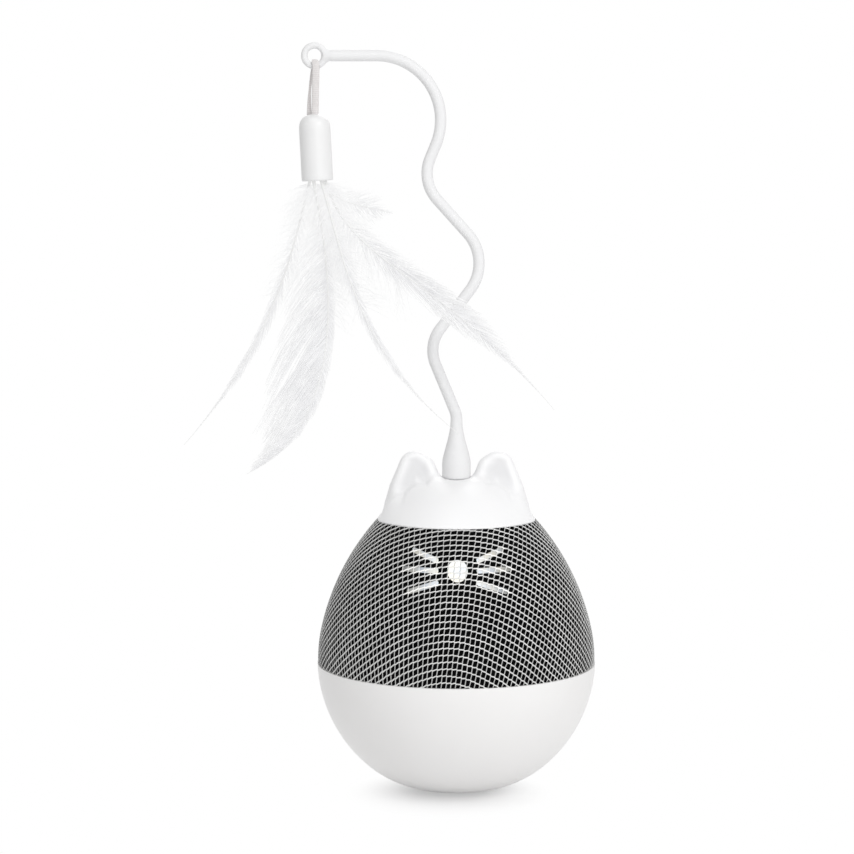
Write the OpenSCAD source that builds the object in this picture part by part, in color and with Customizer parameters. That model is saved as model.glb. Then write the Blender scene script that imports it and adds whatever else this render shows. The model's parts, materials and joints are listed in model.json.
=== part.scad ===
// Self-righting light-up teaser for cats: a weighted bowl, a net-covered egg with a lit face,
// an eared cap, and a springy wavy wand with a feather teaser. Millimetres, +Z up, front at -Y.
// The origin is the centre of the flat foot.

/* [Body] */
// Radius of the round body
body_r = 47.5; // [44:0.5:52]
// Depth of the flat foot's cut into the round body
foot_cut = 3; // [2.5:0.25:4]
// Radius of the curve between the foot and the round body
foot_curve_r = 35; // [30:1:38]
// Wall of the bowl and of the cap
wall = 2.2; // [1.8:0.1:2.8]
// Drop of the net's lower seam below the body's centre
net_seam_drop = 1.5; // [0.5:0.5:3]
// Angle above the body's centre where the flank begins
flank_angle = 12; // [8:1:16]
// Radius of the flank's curve
flank_r = 82; // [78:1:90]
// Rise of the cap's seam above the body's centre
cap_seam_rise = 47.6; // [46:0.2:50]
// Rise of the crown above the body's centre
crown_rise = 62; // [60:0.5:64]

/* [Net and inner shell] */
// Thickness of the net
net_t = 0.9; // [0.6:0.1:1.2]
// Gap between the net and the inner shell
net_gap = 0.1; // [0.05:0.05:0.2]
// Wall of the inner shell
inner_wall = 1.8; // [1.4:0.1:2.4]
// Depth of the inner shell's spigot in the bowl
spigot_h = 5; // [3:0.5:6]
// Clearance of the spigot in the bowl
spigot_clear = 0.25; // [0.1:0.05:0.4]
// Thickness of the deck under the cap
deck_t = 2.2; // [1.6:0.2:3]

/* [Face] */
// Rise of the nose above the body's centre
nose_rise = 35.1; // [33:0.1:37]
// Radius of the nose
nose_r = 3.3; // [2.8:0.1:3.8]
// Width of a whisker
whisker_w = 1.5; // [1:0.1:2]
// Distance of the whiskers' inner ends from the middle
whisker_in = 6.3; // [5.5:0.1:7]
// Distance of the whiskers' outer ends from the middle, from top to bottom
whisker_out = [14.8, 17.8, 16.6]; // [12:0.1:20]
// Rise of the whiskers' inner ends above the nose, from top to bottom
whisker_rise = [2.9, 0, -3.5]; // [-5:0.1:5]
// Slope of the whiskers, from top to bottom
whisker_slope = [21, 1, -18]; // [-30:1:30]
// Clearance of the nose and whiskers in their windows
window_clear = 0.15; // [0.1:0.05:0.25]
// Distance of the light board's front from the body's axis
light_board_y = 20; // [18:0.5:21]
// Thickness of the circuit boards
board_t = 1.6; // [1:0.2:2]
// Height of the lights on their board
light_h = 1; // [0.6:0.1:1.4]
// Radius of the posts that carry the light board
light_post_r = 2.4; // [2:0.1:2.8]
// Distance of those posts from the nose
light_post_rise = 7.9; // [7:0.1:8]

/* [Cap] */
// Distance of an ear's tip from the middle
ear_x = 14.2; // [13:0.2:15]
// Rise of an ear's tip above the body's centre
ear_rise = 71; // [69:0.5:73]
// Radius of an ear's round tip
ear_tip_r = 5; // [4.5:0.1:5.5]
// Radius of an ear's flanks
ear_flank_r = 5.6; // [5:0.1:6]
// Depth of an ear's tip from front to back
ear_tip_depth = 7.4; // [6.5:0.2:9]
// Depth of an ear's foot from front to back
ear_foot_depth = 14; // [12:0.5:16]
// Width of the rim round an ear's scooped front
ear_rim = 1.7; // [1.4:0.1:2.2]
// Place of an ear's outer flank from its tip, outward and down
ear_outer = [3.2, 13.5]; // [-6:0.1:20]
// Place of an ear's inner flank from its tip, outward and down
ear_inner = [-3.7, 11.6]; // [-6:0.1:20]
// Place of an ear's foot from its tip, outward and down
ear_foot = [4.6, 18.5]; // [-6:0.1:20]
// Distance of an ear's scoop in front of its middle
ear_scoop = 3.6; // [3:0.1:4.2]
// Radius of the ring of cap posts
cap_post_ring_r = 17; // [16:0.5:18]
// Radius of a cap post
cap_post_r = 2.8; // [2.4:0.1:3.2]

/* [Weight and chassis] */
// Radius of the weight
weight_r = 27; // [24:0.5:27]
// Height of the weight's top above the foot
weight_top = 10.5; // [9.5:0.5:11.5]
// Gap between the weight and the bowl
weight_gap = 0.2; // [0.1:0.05:0.3]
// Radius of the ring of weight bosses
weight_boss_ring_r = 17; // [15:0.5:19]
// Radius of a weight boss
weight_boss_r = 3.2; // [2.8:0.1:3.6]
// Metal above a weight boss
weight_seat_t = 3.5; // [3:0.5:4.5]
// Radius of the ring of chassis posts
chassis_post_ring_r = 31; // [31:0.25:32]
// Radius of a chassis post
chassis_post_r = 3; // [2.8:0.1:3.2]
// Radius of the chassis plate
chassis_r = 37; // [36:0.5:38]
// Thickness of the chassis plate
chassis_t = 2; // [1.6:0.2:2.6]

/* [Power] */
// Radius of the battery cell
cell_r = 7; // [6.5:0.1:7.5]
// Length of the battery cell
cell_len = 48; // [44:1:50]
// Thickness of the battery strap
strap_t = 1.2; // [1:0.1:1.6]
// Width of the battery strap
strap_w = 10; // [8:1:14]
// Length of a strap foot
strap_foot = 7; // [6.5:0.5:8]
// Height of the board's standoffs
standoff_h = 3; // [2.6:0.2:3.6]
// Radius of a standoff
standoff_r = 2.5; // [2.3:0.1:2.8]
// Width of the control board
board_w = 46; // [44:1:48]
// Gap between the control board's curved rear edge and the bowl
board_rim_gap = 2.7; // [2.4:0.1:4]
// Distance of the control board's front edge behind the axis
board_front = 1; // [0:0.5:2]
// Spacing of the standoffs across the board
standoff_x = 24; // [22:1:26]
// Distance of the front standoffs behind the axis
standoff_front_y = 5; // [4:0.5:6]
// Distance of the rear standoffs inside the board's rear edge
standoff_rear_in = 13; // [11:0.5:15]
// Radius of the tilt switch
tilt_r = 2.6; // [2.2:0.1:3]
// Height of the tilt switch
tilt_h = 6.5; // [5:0.5:7]

/* [Button and charge port] */
// Angle of the button round from the rear
button_angle = 32; // [28:1:36]
// Radius of the button
button_r = 4.4; // [4:0.1:5]
// Travel of the button
button_travel = 0.9; // [0.6:0.1:1.2]
// Running clearance of the button in the bowl
button_clear = 0.08; // [0.05:0.01:0.1]
// Height of the button above the bowl's surface
button_proud = 0.4; // [0.2:0.1:0.8]
// Width and depth of the tact switch
tact_w = 6; // [5:0.5:7]
// Height of the tact switch
tact_h = 4.4; // [4:0.2:5]
// Width of the charge socket's shell
socket_w = 8.9; // [8.5:0.1:9.2]
// Height of the charge socket's shell
socket_h = 3.3; // [3:0.1:3.6]
// Length of the charge socket's shell
socket_len = 7.3; // [6.5:0.1:8]
// Width of the charge flap
flap_w = 15; // [14:0.5:17]
// Height of the charge flap
flap_h = 8; // [7:0.5:9]
// Thickness of the charge flap
flap_t = 1; // [0.8:0.1:1.1]
// Clearance round the charge flap
flap_clear = 0.3; // [0.2:0.05:0.4]
// Radius of the flap's hinge bead
bead_r = 0.6; // [0.5:0.05:0.65]

/* [Wand] */
// Radius of the wand's rod
rod_r = 1.9; // [1.6:0.1:2.2]
// Lengths of the wand's straight runs, from the plug to the ring
wand_runs = [3.4, 17, 16.4, 15.4, 5, 15.2]; // [3:0.1:20]
// Radii of the wand's bends
wand_radii = [8, 12, 15, 13, 21.4]; // [7:0.1:25]
// Turns of the wand's bends to the left, in degrees, which end level
wand_turns = [22.5, -60, 79.5, -64.5, 112.5]; // [-120:0.5:120]
// Radius of the plug's collar
collar_r = 4.85; // [4.4:0.05:5.2]
// Height of the plug's collar
collar_h = 6.2; // [5:0.2:7]
// Height of the plug's taper
taper_h = 10.3; // [9:0.1:12]
// Radius of the plug's tip
plug_tip_r = 2.3; // [2.2:0.1:2.8]
// Radius of the plug's pin
pin_r = 3.6; // [3.2:0.1:4]
// Length of the plug's pin
pin_len = 16; // [12:1:17]
// Running clearance of the pin in its bush
pin_clear = 0.05; // [0.03:0.01:0.1]
// Wall of the bush
bush_wall = 1.5; // [1.2:0.1:2]
// Wall of the cap's socket tube
tube_wall = 1.8; // [1.4:0.1:2.4]
// Outer radius of the wand's ring
ring_r = 4.5; // [4:0.1:5]
// Radius of the ring's wire
ring_wire_r = 1.1; // [0.9:0.05:1.2]

/* [Teaser] */
// Width of the elastic band
band_w = 2.4; // [2:0.1:2.6]
// Thickness of the elastic band
band_t = 0.8; // [0.6:0.1:1]
// Gap between the band and the ring's wire
band_gap = 0.35; // [0.3:0.05:0.5]
// Length of the elastic loop from the ring's wire to the ferrule
loop_len = 16; // [14:0.5:18]
// Lean of the band's front and rear legs
leg_lean = [0, 6]; // [-8:0.5:8]
// Radius of the ferrule
ferrule_r = 5.3; // [5:0.1:5.8]
// Length of the ferrule's straight side
ferrule_len = 17; // [15:0.5:19]
// Wall of the ferrule
ferrule_wall = 1; // [0.8:0.1:1.2]
// Lean of the ferrule at rest
ferrule_lean = 2.8; // [0:0.2:5]
// Radius of a quill
quill_r = 0.7; // [0.6:0.05:0.8]
// Radius of the ring of quills
quill_ring_r = 2.6; // [2.4:0.1:2.8]
// Half of a feather's thickness
vane_t = 0.45; // [0.35:0.05:0.5]

/* [Plumes] */
// Curve of the broad plume: offsets of its points from the quill's lower end
main_reach = [[3, -4, -38], [-4, -8, -66], [-22, -7, -96]];
// Half of the broad plume's width
main_half = 12; // [9:0.5:14]
// Curve of the left plume
left_reach = [[-6, 1, -36], [-14, 0, -58], [-43, -1, -89]];
// Half of the left plume's width
left_half = 3.2; // [2:0.2:5]
// Curve of the right plume
right_reach = [[8, -10, -28], [38, -24, -30], [76, -25, -75]];
// Half of the right plume's width
right_half = 4.6; // [3:0.2:6]
// Curve of the thin middle plume
mid_reach = [[8, -12, -26], [12, -20, -56], [46, -24, -83]];
// Half of the middle plume's width
mid_half = 2; // [1.4:0.2:3]
// Curve of the short plume
short_reach = [[2, 3, -14], [8, 5, -26], [15, 6, -38]];
// Half of the short plume's width
short_half = 5; // [4:0.5:6]
// Curve of the down tuft
down_reach = [[4, 1, -8], [13, 0, -8], [24, -1, -11]];
// Half of the down tuft's width
down_half = 5.5; // [4:0.5:6.5]
// Swell of the plumes: broad, left, right, middle, short and down; above 1 the width sits nearer the tip
plume_swell = [1.5, 0.8, 0.9, 0.8, 1, 1]; // [0.6:0.1:1.6]

/* [Fits and screws] */
// Radius of a screw's shank
screw_r = 1.1; // [1:0.05:1.3]
// Radius of a screw's head
head_r = 2.1; // [2:0.05:2.3]
// Height of a screw's head
head_h = 1.4; // [1.2:0.1:1.6]
// Clearance of a screw in its thread
thread_clear = 0.05; // [0.03:0.01:0.08]
// Clearance of a screw in the piece that it holds
hole_clear = 0.3; // [0.2:0.05:0.4]
// Length of thread in a boss
thread_len = 5; // [4:0.5:5.5]
// General gap between seated pieces
seat_gap = 0.1; // [0.05:0.05:0.2]

/* [Hidden] */
$fn = 96;
hull_fn = 32;
far = 400;
eps = 0.01;
// How far a cut runs past the face that it opens
over = 1;

// Levels and centres of the body's outline
centre_z = body_r - foot_cut;
foot_flat_r = sqrt(foot_cut * (2 * body_r - foot_cut - 2 * foot_curve_r));
net_seam_z = centre_z - net_seam_drop;
cap_seam_z = centre_z + cap_seam_rise;
crown_z = centre_z + crown_rise;
flank_x = (body_r - flank_r) * cos(flank_angle);
flank_z = centre_z + (body_r - flank_r) * sin(flank_angle);
crown_k = flank_r - crown_z;
crown_centre_z = (flank_x * flank_x + flank_z * flank_z - crown_k * crown_k) / (2 * (crown_k + flank_z));
crown_r = crown_z - crown_centre_z;
crown_angle = atan2(crown_centre_z - flank_z, -flank_x);
foot_angle = atan2(foot_curve_r - centre_z, foot_flat_r);
// Neighbouring arcs cross by a hair instead of only touching
arc_step = 0.02;

// Insets of the inner shell from the body's outline
inner_inset = net_t + net_gap;
inner_face_inset = inner_inset + inner_wall;

// Radius of the round body's inner wall at a height
function bowl_in_r(z) = sqrt(pow(body_r - wall, 2) - pow(centre_z - z, 2));
spigot_r = bowl_in_r(net_seam_z - spigot_h) - spigot_clear;

// Levels of the weight, the cell, the chassis and the board
weight_boss_top = weight_top - weight_seat_t;
cell_z = weight_top + 2 * seat_gap + strap_t + cell_r;
chassis_z = cell_z + cell_r + seat_gap;
chassis_top = chassis_z + chassis_t;
board_z = chassis_top + standoff_h;
board_top = board_z + board_t;
board_edge_r = bowl_in_r(board_top) - board_rim_gap;
standoff_rear_y = board_edge_r - standoff_rear_in;
socket_z = board_top + socket_h / 2;
button_z = board_top + tact_h / 2;

// Places of the button and of the charge port
button_az = 90 - button_angle;
button_flange_rim = 1.2;
button_flange_r = button_r + button_flange_rim;
button_flange_t = 1;
pad_rim = 1;
pad_r = button_flange_r + pad_rim;
pad_depth = 3;
pad_x = bowl_in_r(button_z) - pad_depth;
stem_r = 1.4;
stem_clear = 0.2;
stem_entry = 0.4;
tact_gap = 0.6;
tact_x = pad_x - button_flange_t - button_travel - tact_gap;
stem_end_gap = 0.5;
stem_hole = button_travel + stem_entry + stem_end_gap;
port_tilt = asin((centre_z - socket_z) / body_r);
bead_depth = 0.7;
bead_out = 0.4;
bead_x = flap_w / 2 + bead_out;
flap_corner = 2;
bead_len = flap_h - flap_corner;
bead_clear = 0.08;
recess_t = flap_t + seat_gap;
recess_left = 1.1;
port_clear = 0.4;
tongue_clear = 0.5;
tongue_len = 0.9;

// Levels of the cap's socket and of the wand's plug
deck_z = cap_seam_z - deck_t;
bush_r = pin_r + pin_clear + bush_wall;
bush_flat_drop = 0.45;
bush_top = crown_z - bush_flat_drop;
bush_end_gap = 1;
bush_floor = bush_top - pin_len - bush_end_gap;
bush_flange_t = 1.4;
bush_flange_rim = 1.2;
bush_flange_r = bush_r + bush_flange_rim;
tube_r = bush_r + seat_gap + tube_wall;
tube_end = bush_floor;
deck_clear = 0.3;
deck_hole_r = tube_r + deck_clear;
collar_clear = 0.4;
collar_top = bush_top + collar_h;
plug_top = collar_top + taper_h;
taper_drop = collar_r - plug_tip_r;
taper_r = (taper_h * taper_h + taper_drop * taper_drop) / (2 * taper_drop);
joint_rise = 0.3;
joint_clear = 0.05;
wand_z = plug_top + joint_rise;

// The wand as runs and bends: each state is [x, z, heading], heading measured left of straight up
function after_run(s, len) = [s[0] - len * sin(s[2]), s[1] + len * cos(s[2]), s[2]];
function bend_centre(s, r, turn) =
    [s[0] - sign(turn) * r * cos(s[2]), s[1] - sign(turn) * r * sin(s[2])];
function after_bend(s, r, turn) =
    let (c = bend_centre(s, r, turn), h = s[2] + turn)
    [c[0] + sign(turn) * r * cos(h), c[1] + sign(turn) * r * sin(h), h];
function wand_state(i) =
    i == 0 ? [0, wand_z, 0]
    : after_bend(after_run(wand_state(i - 1), wand_runs[i - 1]), wand_radii[i - 1], wand_turns[i - 1]);
wand_bends = len(wand_turns);
// The bends are a hair thinner than the runs, which lap over their ends
bend_step = 0.03;
bend_lap = 0.4;
wand_end = after_run(wand_state(wand_bends), wand_runs[wand_bends]);
ring_mid_r = ring_r - ring_wire_r;
ring_stem = 2.2;
ring_x = wand_end[0] - ring_stem - ring_mid_r;
ring_z = wand_end[1];

// Levels of the loop, the ferrule and the quills
loop_z = ring_z - ring_mid_r;
band_in = ring_wire_r + band_gap;
ferrule_top = loop_z - loop_len;
dome_z = ferrule_top - ferrule_r;
ferrule_end = dome_z - ferrule_len;
leg_gap = 0.3;
bore_r = ferrule_r - ferrule_wall;
binder_clear = 0.05;
binder_h = 11;
binder_drop = 1;
binder_top = dome_z - binder_drop;
binder_z = binder_top - binder_h;
quill_hole_clear = 0.2;
quill_in = 9;

// A wedge from a point between two directions
module wedge(p, a0, a1, len) {
    polygon([p, p + len * [cos(a0), sin(a0)], p + len * [cos(a1), sin(a1)]]);
}

// Half of the body's outline, drawn in by an inset: foot, sphere, flank and crown run into each other
module body_outline(inset) {
    intersection() {
        union() {
            difference() {
                translate([0, centre_z]) circle(body_r - inset);
                difference() {
                    wedge([foot_flat_r, foot_curve_r], -90, foot_angle, 2 * body_r);
                    translate([foot_flat_r, foot_curve_r]) circle(foot_curve_r + arc_step - inset);
                }
            }
            intersection() {
                translate([flank_x, flank_z]) circle(flank_r - arc_step - inset);
                wedge([flank_x, flank_z], flank_angle, crown_angle, 2 * flank_r);
            }
            translate([0, crown_centre_z]) circle(crown_r + arc_step - inset);
        }
        translate([0, inset]) square([2 * body_r, crown_z]);
    }
}

// The body's form, drawn in by an inset, between two levels
module body_form(inset, z0, z1) {
    rotate_extrude() intersection() {
        body_outline(inset);
        translate([0, z0]) square([2 * body_r, z1 - z0]);
    }
}

// A shell of the body between two insets and two levels
module body_shell(outer, inner, z0, z1) {
    rotate_extrude() intersection() {
        difference() {
            body_outline(outer);
            body_outline(inner);
        }
        translate([0, z0]) square([2 * body_r, z1 - z0]);
    }
}

// Copies round the axis
module ring_of(r, angles) {
    for (a = angles) rotate([0, 0, a]) translate([r, 0, 0]) children();
}

// A screw that points down from the underside of its head at the origin
module screw(len) {
    translate([0, 0, -len]) cylinder(r = screw_r, h = len);
    difference() {
        cylinder(r = head_r, h = head_h);
        translate([0, 0, head_h / 2]) cylinder(r = head_r / 2, h = head_h, $fn = 6);
    }
}

// A slot with round ends along X, centred
module slot(w, h) {
    square([w - h, h], center = true);
    for (s = [-1, 1]) translate([s * (w - h) / 2, 0]) circle(h / 2);
}

// A rectangle with round corners, centred
module round_rect(w, h, r) {
    square([w - 2 * r, h], center = true);
    square([w, h - 2 * r], center = true);
    for (x = [-1, 1], y = [-1, 1]) translate([x * (w / 2 - r), y * (h / 2 - r)]) circle(r);
}

// An outline in X and Z carried along +Y from y0 to y1
module along_y(y0, y1) {
    translate([0, y1, 0]) rotate([90, 0, 0]) linear_extrude(y1 - y0) children();
}

weight_boss_angles = [30, 150, 270];
chassis_post_angles = [90, 210, 330];
cap_post_angles = [90, 210, 330];

// The frame of the button: its axis runs out along +Z from the body's axis
module button_frame() {
    translate([0, 0, button_z]) rotate([0, 0, button_az]) rotate([0, 90, 0]) children();
}

// The frame of the charge port: +Y runs square out of the round body at the port
module port_frame() {
    translate([0, 0, centre_z]) rotate([-port_tilt, 0, 0]) children();
}

// White bowl with its foot, bosses, posts, button bore and charge port
module lower_shell() {
    color("white") difference() {
        union() {
            body_shell(0, wall, 0, net_seam_z);
            intersection() {
                body_form(wall / 2, 0, net_seam_z);
                union() {
                    ring_of(weight_boss_ring_r, weight_boss_angles)
                        cylinder(r = weight_boss_r, h = weight_boss_top);
                    ring_of(chassis_post_ring_r, chassis_post_angles)
                        cylinder(r = chassis_post_r, h = chassis_z);
                    button_frame() translate([0, 0, pad_x]) cylinder(r = pad_r, h = body_r - pad_x);
                }
            }
        }
        ring_of(weight_boss_ring_r, weight_boss_angles)
            translate([0, 0, weight_boss_top - thread_len + seat_gap])
                cylinder(r = screw_r + thread_clear, h = thread_len);
        ring_of(chassis_post_ring_r, chassis_post_angles)
            translate([0, 0, chassis_z - thread_len - over])
                cylinder(r = screw_r + thread_clear, h = thread_len + 2 * over);
        button_frame() cylinder(r = button_r + button_clear, h = 2 * body_r);
        port_frame() {
            intersection() {
                difference() {
                    sphere(body_r + over);
                    sphere(body_r - recess_t);
                }
                along_y(0, 2 * body_r) union() {
                    round_rect(flap_w + 2 * flap_clear, flap_h + 2 * flap_clear, flap_corner + flap_clear);
                    translate([-bead_x - recess_left, -flap_h / 2 - flap_clear])
                        square([bead_x, flap_h + 2 * flap_clear]);
                }
            }
            translate([-bead_x, body_r - bead_depth, -bead_len / 2 - bead_clear])
                cylinder(r = bead_r + bead_clear, h = bead_len + 2 * bead_clear);
            along_y(0, 2 * body_r) slot(socket_w + 2 * port_clear, socket_h + 2 * port_clear);
        }
    }
}

// Cast weight that fills the bottom of the bowl
module base_weight() {
    color("dimgray") difference() {
        intersection() {
            body_form(wall + weight_gap, 0, weight_top);
            cylinder(r = weight_r, h = far);
        }
        ring_of(weight_boss_ring_r, weight_boss_angles) {
            cylinder(r = weight_boss_r + weight_gap, h = weight_boss_top);
            cylinder(r = screw_r + hole_clear, h = far);
            translate([0, 0, weight_top - head_h]) cylinder(r = head_r + hole_clear, h = far);
        }
    }
}

module weight_screws() {
    color("silver") ring_of(weight_boss_ring_r, weight_boss_angles)
        translate([0, 0, weight_top - head_h]) screw(weight_seat_t - head_h + thread_len - 2 * seat_gap);
}

// Strap feet stand on both sides of the cell
strap_foot_y = cell_r + seat_gap + strap_t + strap_foot / 2;

// Plate over the cell that carries the control board on standoffs
module chassis_plate() {
    color("gainsboro") difference() {
        union() {
            translate([0, 0, chassis_z]) cylinder(r = chassis_r, h = chassis_t);
            for (x = [-1, 1], y = [standoff_front_y, standoff_rear_y])
                translate([x * standoff_x / 2, y, chassis_z])
                    cylinder(r = standoff_r, h = chassis_t + standoff_h);
        }
        ring_of(chassis_post_ring_r, chassis_post_angles) cylinder(r = screw_r + hole_clear, h = far);
        for (x = [-1, 1], y = [standoff_front_y, standoff_rear_y])
            translate([x * standoff_x / 2, y, chassis_z]) cylinder(r = screw_r + thread_clear, h = far);
        for (y = [-1, 1]) translate([0, y * strap_foot_y, 0]) cylinder(r = screw_r + thread_clear, h = far);
    }
}

module chassis_screws() {
    color("silver") ring_of(chassis_post_ring_r, chassis_post_angles)
        translate([0, 0, chassis_top]) screw(chassis_t + thread_len);
}

// Round cell with its raised positive end
cap_len = 1.2;
module battery_cell() {
    color("seagreen") translate([-cell_len / 2, 0, cell_z]) rotate([0, 90, 0]) {
        cylinder(r = cell_r, h = cell_len - cap_len);
        cylinder(r = cell_r / 3, h = cell_len);
    }
}

// Strap that holds the cell up against the chassis plate
module battery_strap() {
    color("black") difference() {
        translate([-strap_w / 2, 0, 0]) rotate([90, 0, 90]) linear_extrude(strap_w) difference() {
            union() {
                translate([0, cell_z]) circle(cell_r + seat_gap + strap_t);
                translate([-cell_r - seat_gap - strap_t, cell_z])
                    square([2 * (cell_r + seat_gap + strap_t), chassis_z - cell_z]);
                translate([-strap_foot_y - strap_foot / 2, chassis_z - strap_t])
                    square([2 * strap_foot_y + strap_foot, strap_t]);
            }
            translate([0, cell_z]) circle(cell_r + seat_gap);
            translate([-cell_r - seat_gap, cell_z]) square([2 * (cell_r + seat_gap), far]);
            translate([-far / 2, chassis_z]) square(far);
        }
        for (y = [-1, 1]) translate([0, y * strap_foot_y, 0]) cylinder(r = screw_r + hole_clear, h = far);
    }
}

module strap_screws() {
    color("silver") for (y = [-1, 1])
        translate([0, y * strap_foot_y, chassis_z - strap_t]) mirror([0, 0, 1]) screw(strap_t + chassis_t);
}

// Control board with its chip, cut to the bowl's curve at the rear and notched for the button
chip_w = 7;
chip_h = 1.2;
chip_y = 15;
module control_board() {
    color("darkgreen") difference() {
        union() {
            translate([0, 0, board_z]) linear_extrude(board_t) intersection() {
                translate([-board_w / 2, board_front]) square([board_w, far]);
                circle(board_edge_r);
            }
            translate([-chip_w / 2, chip_y, board_top - eps]) cube([chip_w, chip_w, chip_h + eps]);
        }
        for (x = [-1, 1], y = [standoff_front_y, standoff_rear_y])
            translate([x * standoff_x / 2, y, 0]) cylinder(r = screw_r + hole_clear, h = far);
        button_frame() translate([0, 0, tact_x]) cylinder(r = button_flange_r + hole_clear, h = far);
    }
}

module board_screws() {
    color("silver") for (x = [-1, 1], y = [standoff_front_y, standoff_rear_y])
        translate([x * standoff_x / 2, y, board_top]) screw(board_t + standoff_h);
}

// Upright can on the control board that feels the toy rock
tilt_x = -9;
tilt_y = 12;
module tilt_switch() {
    color("silver") translate([tilt_x, tilt_y, board_top]) rotate_extrude() difference() {
        square([tilt_r, tilt_h]);
        translate([tilt_r, tilt_h]) circle(tilt_r / 4);
    }
}

// Switch behind the button, with the hole that takes the button's stem
module tact_switch() {
    color("dimgray") difference() {
        rotate([0, 0, button_az]) translate([tact_x - tact_w, -tact_w / 2, board_top])
            cube([tact_w, tact_w, tact_h]);
        button_frame() translate([0, 0, tact_x - stem_hole]) cylinder(r = stem_r + stem_clear, h = far);
    }
}

// Button that slides in the bowl, its flange against the pad behind the wall
module power_button() {
    color("whitesmoke") {
        intersection() {
            button_frame() translate([0, 0, pad_x - eps]) cylinder(r = button_r, h = body_r);
            translate([0, 0, centre_z]) sphere(body_r + button_proud);
        }
        button_frame() {
            translate([0, 0, pad_x - button_flange_t]) cylinder(r = button_flange_r, h = button_flange_t);
            translate([0, 0, tact_x - stem_entry]) cylinder(r = stem_r, h = pad_x - tact_x + stem_entry);
        }
    }
}

// Charge socket on the control board's rear edge
socket_wall = 0.4;
socket_tongue_h = 0.7;
socket_tongue_w = 6.2;
socket_floor = 1;
module charge_socket() {
    color("silver") translate([0, board_edge_r + socket_len / 3, socket_z]) {
        difference() {
            along_y(-socket_len, 0) slot(socket_w, socket_h);
            along_y(-socket_len + socket_floor, over)
                slot(socket_w - 2 * socket_wall, socket_h - 2 * socket_wall);
        }
        along_y(-socket_len + eps, -socket_floor) square([socket_tongue_w, socket_tongue_h], center = true);
    }
}

// Soft flap over the charge port, flush with the bowl, with a bead that turns in the bowl's groove
module charge_flap() {
    color("gainsboro") port_frame() {
        intersection() {
            difference() {
                sphere(body_r);
                sphere(body_r - flap_t);
            }
            along_y(0, 2 * body_r) round_rect(flap_w, flap_h, flap_corner);
        }
        translate([-bead_x, body_r - bead_depth, -bead_len / 2]) cylinder(r = bead_r, h = bead_len);
        intersection() {
            sphere(body_r - flap_t / 2);
            along_y(body_r - flap_t - tongue_len, body_r)
                slot(socket_w + 2 * (port_clear - tongue_clear), socket_h + 2 * (port_clear - tongue_clear));
        }
    }
}

nose_z = centre_z + nose_rise;

// The six whiskers' outlines in X and Z, grown by an amount
module whisker_outlines(grow) {
    for (i = [0, 1, 2], s = [-1, 1]) {
        len = (whisker_out[i] - whisker_in) / cos(whisker_slope[i]);
        translate([s * whisker_in, nose_z + whisker_rise[i]]) mirror([s < 0 ? 1 : 0, 0])
            rotate(whisker_slope[i]) translate([len / 2, 0]) slot(len + 2 * grow, whisker_w + 2 * grow);
    }
}

light_face_y = -light_board_y - light_h - seat_gap;
light_post_z = [nose_z - light_post_rise, nose_z + light_post_rise];

// Black egg-shaped shell with its deck, spigot, face windows and light posts
module inner_shell() {
    color([0.05, 0.05, 0.05]) difference() {
        union() {
            body_shell(inner_inset, inner_face_inset, net_seam_z, cap_seam_z);
            body_form(inner_inset + inner_wall / 2, deck_z, cap_seam_z);
            difference() {
                translate([0, 0, net_seam_z - spigot_h]) cylinder(r = spigot_r, h = spigot_h + inner_wall);
                translate([0, 0, -far / 2]) cylinder(r = spigot_r - inner_wall, h = far);
                button_frame() cylinder(r = pad_r + spigot_clear, h = 2 * body_r);
                translate([0, 0, socket_z]) along_y(0, 2 * body_r)
                    slot(socket_w + 2 * spigot_clear, socket_h + 2 * spigot_clear);
            }
            difference() {
                body_form(inner_inset + inner_wall / 2, net_seam_z, net_seam_z + inner_wall);
                cylinder(r = spigot_r - inner_wall, h = far);
            }
            intersection() {
                body_form(inner_inset + inner_wall / 2, net_seam_z, cap_seam_z);
                along_y(-body_r, -light_board_y) for (z = light_post_z) translate([0, z]) circle(light_post_r);
            }
        }
        translate([0, 0, deck_z - over]) cylinder(r = deck_hole_r, h = deck_t + 2 * over);
        ring_of(cap_post_ring_r, cap_post_angles) translate([0, 0, deck_z - over])
            cylinder(r = screw_r + hole_clear, h = deck_t + 2 * over);
        along_y(-body_r, 0) translate([0, nose_z]) circle(nose_r + window_clear);
        along_y(-body_r, 0) whisker_outlines(window_clear);
        along_y(-light_board_y - thread_len, 0)
            for (z = light_post_z) translate([0, z]) circle(screw_r + thread_clear);
    }
}

// Net stretched over the inner shell, between the bowl's rim and the cap's rim
module net_sleeve() {
    color("darkgray") body_shell(0, net_t, net_seam_z, cap_seam_z);
}

// Round light pipe of the nose
module nose_lens() {
    color("ivory") intersection() {
        body_form(inner_inset, net_seam_z, cap_seam_z);
        along_y(-body_r, light_face_y) translate([0, nose_z]) circle(nose_r);
    }
}

// Blade-like light pipes of the whiskers
module whisker_guides() {
    color("ivory") intersection() {
        body_form(inner_inset, net_seam_z, cap_seam_z);
        along_y(-body_r, light_face_y) whisker_outlines(0);
    }
}

// Upright board behind the face
light_board_w = 40;
light_board_h = 24;
light_board_inset = 1.2;
module light_board() {
    color("darkgreen") difference() {
        intersection() {
            body_form(inner_face_inset + light_board_inset, net_seam_z, deck_z - seat_gap);
            translate([-light_board_w / 2, -light_board_y, nose_z - light_board_h / 2])
                cube([light_board_w, board_t, light_board_h]);
        }
        along_y(-body_r, 0) for (z = light_post_z) translate([0, z]) circle(screw_r + hole_clear);
    }
}

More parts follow.
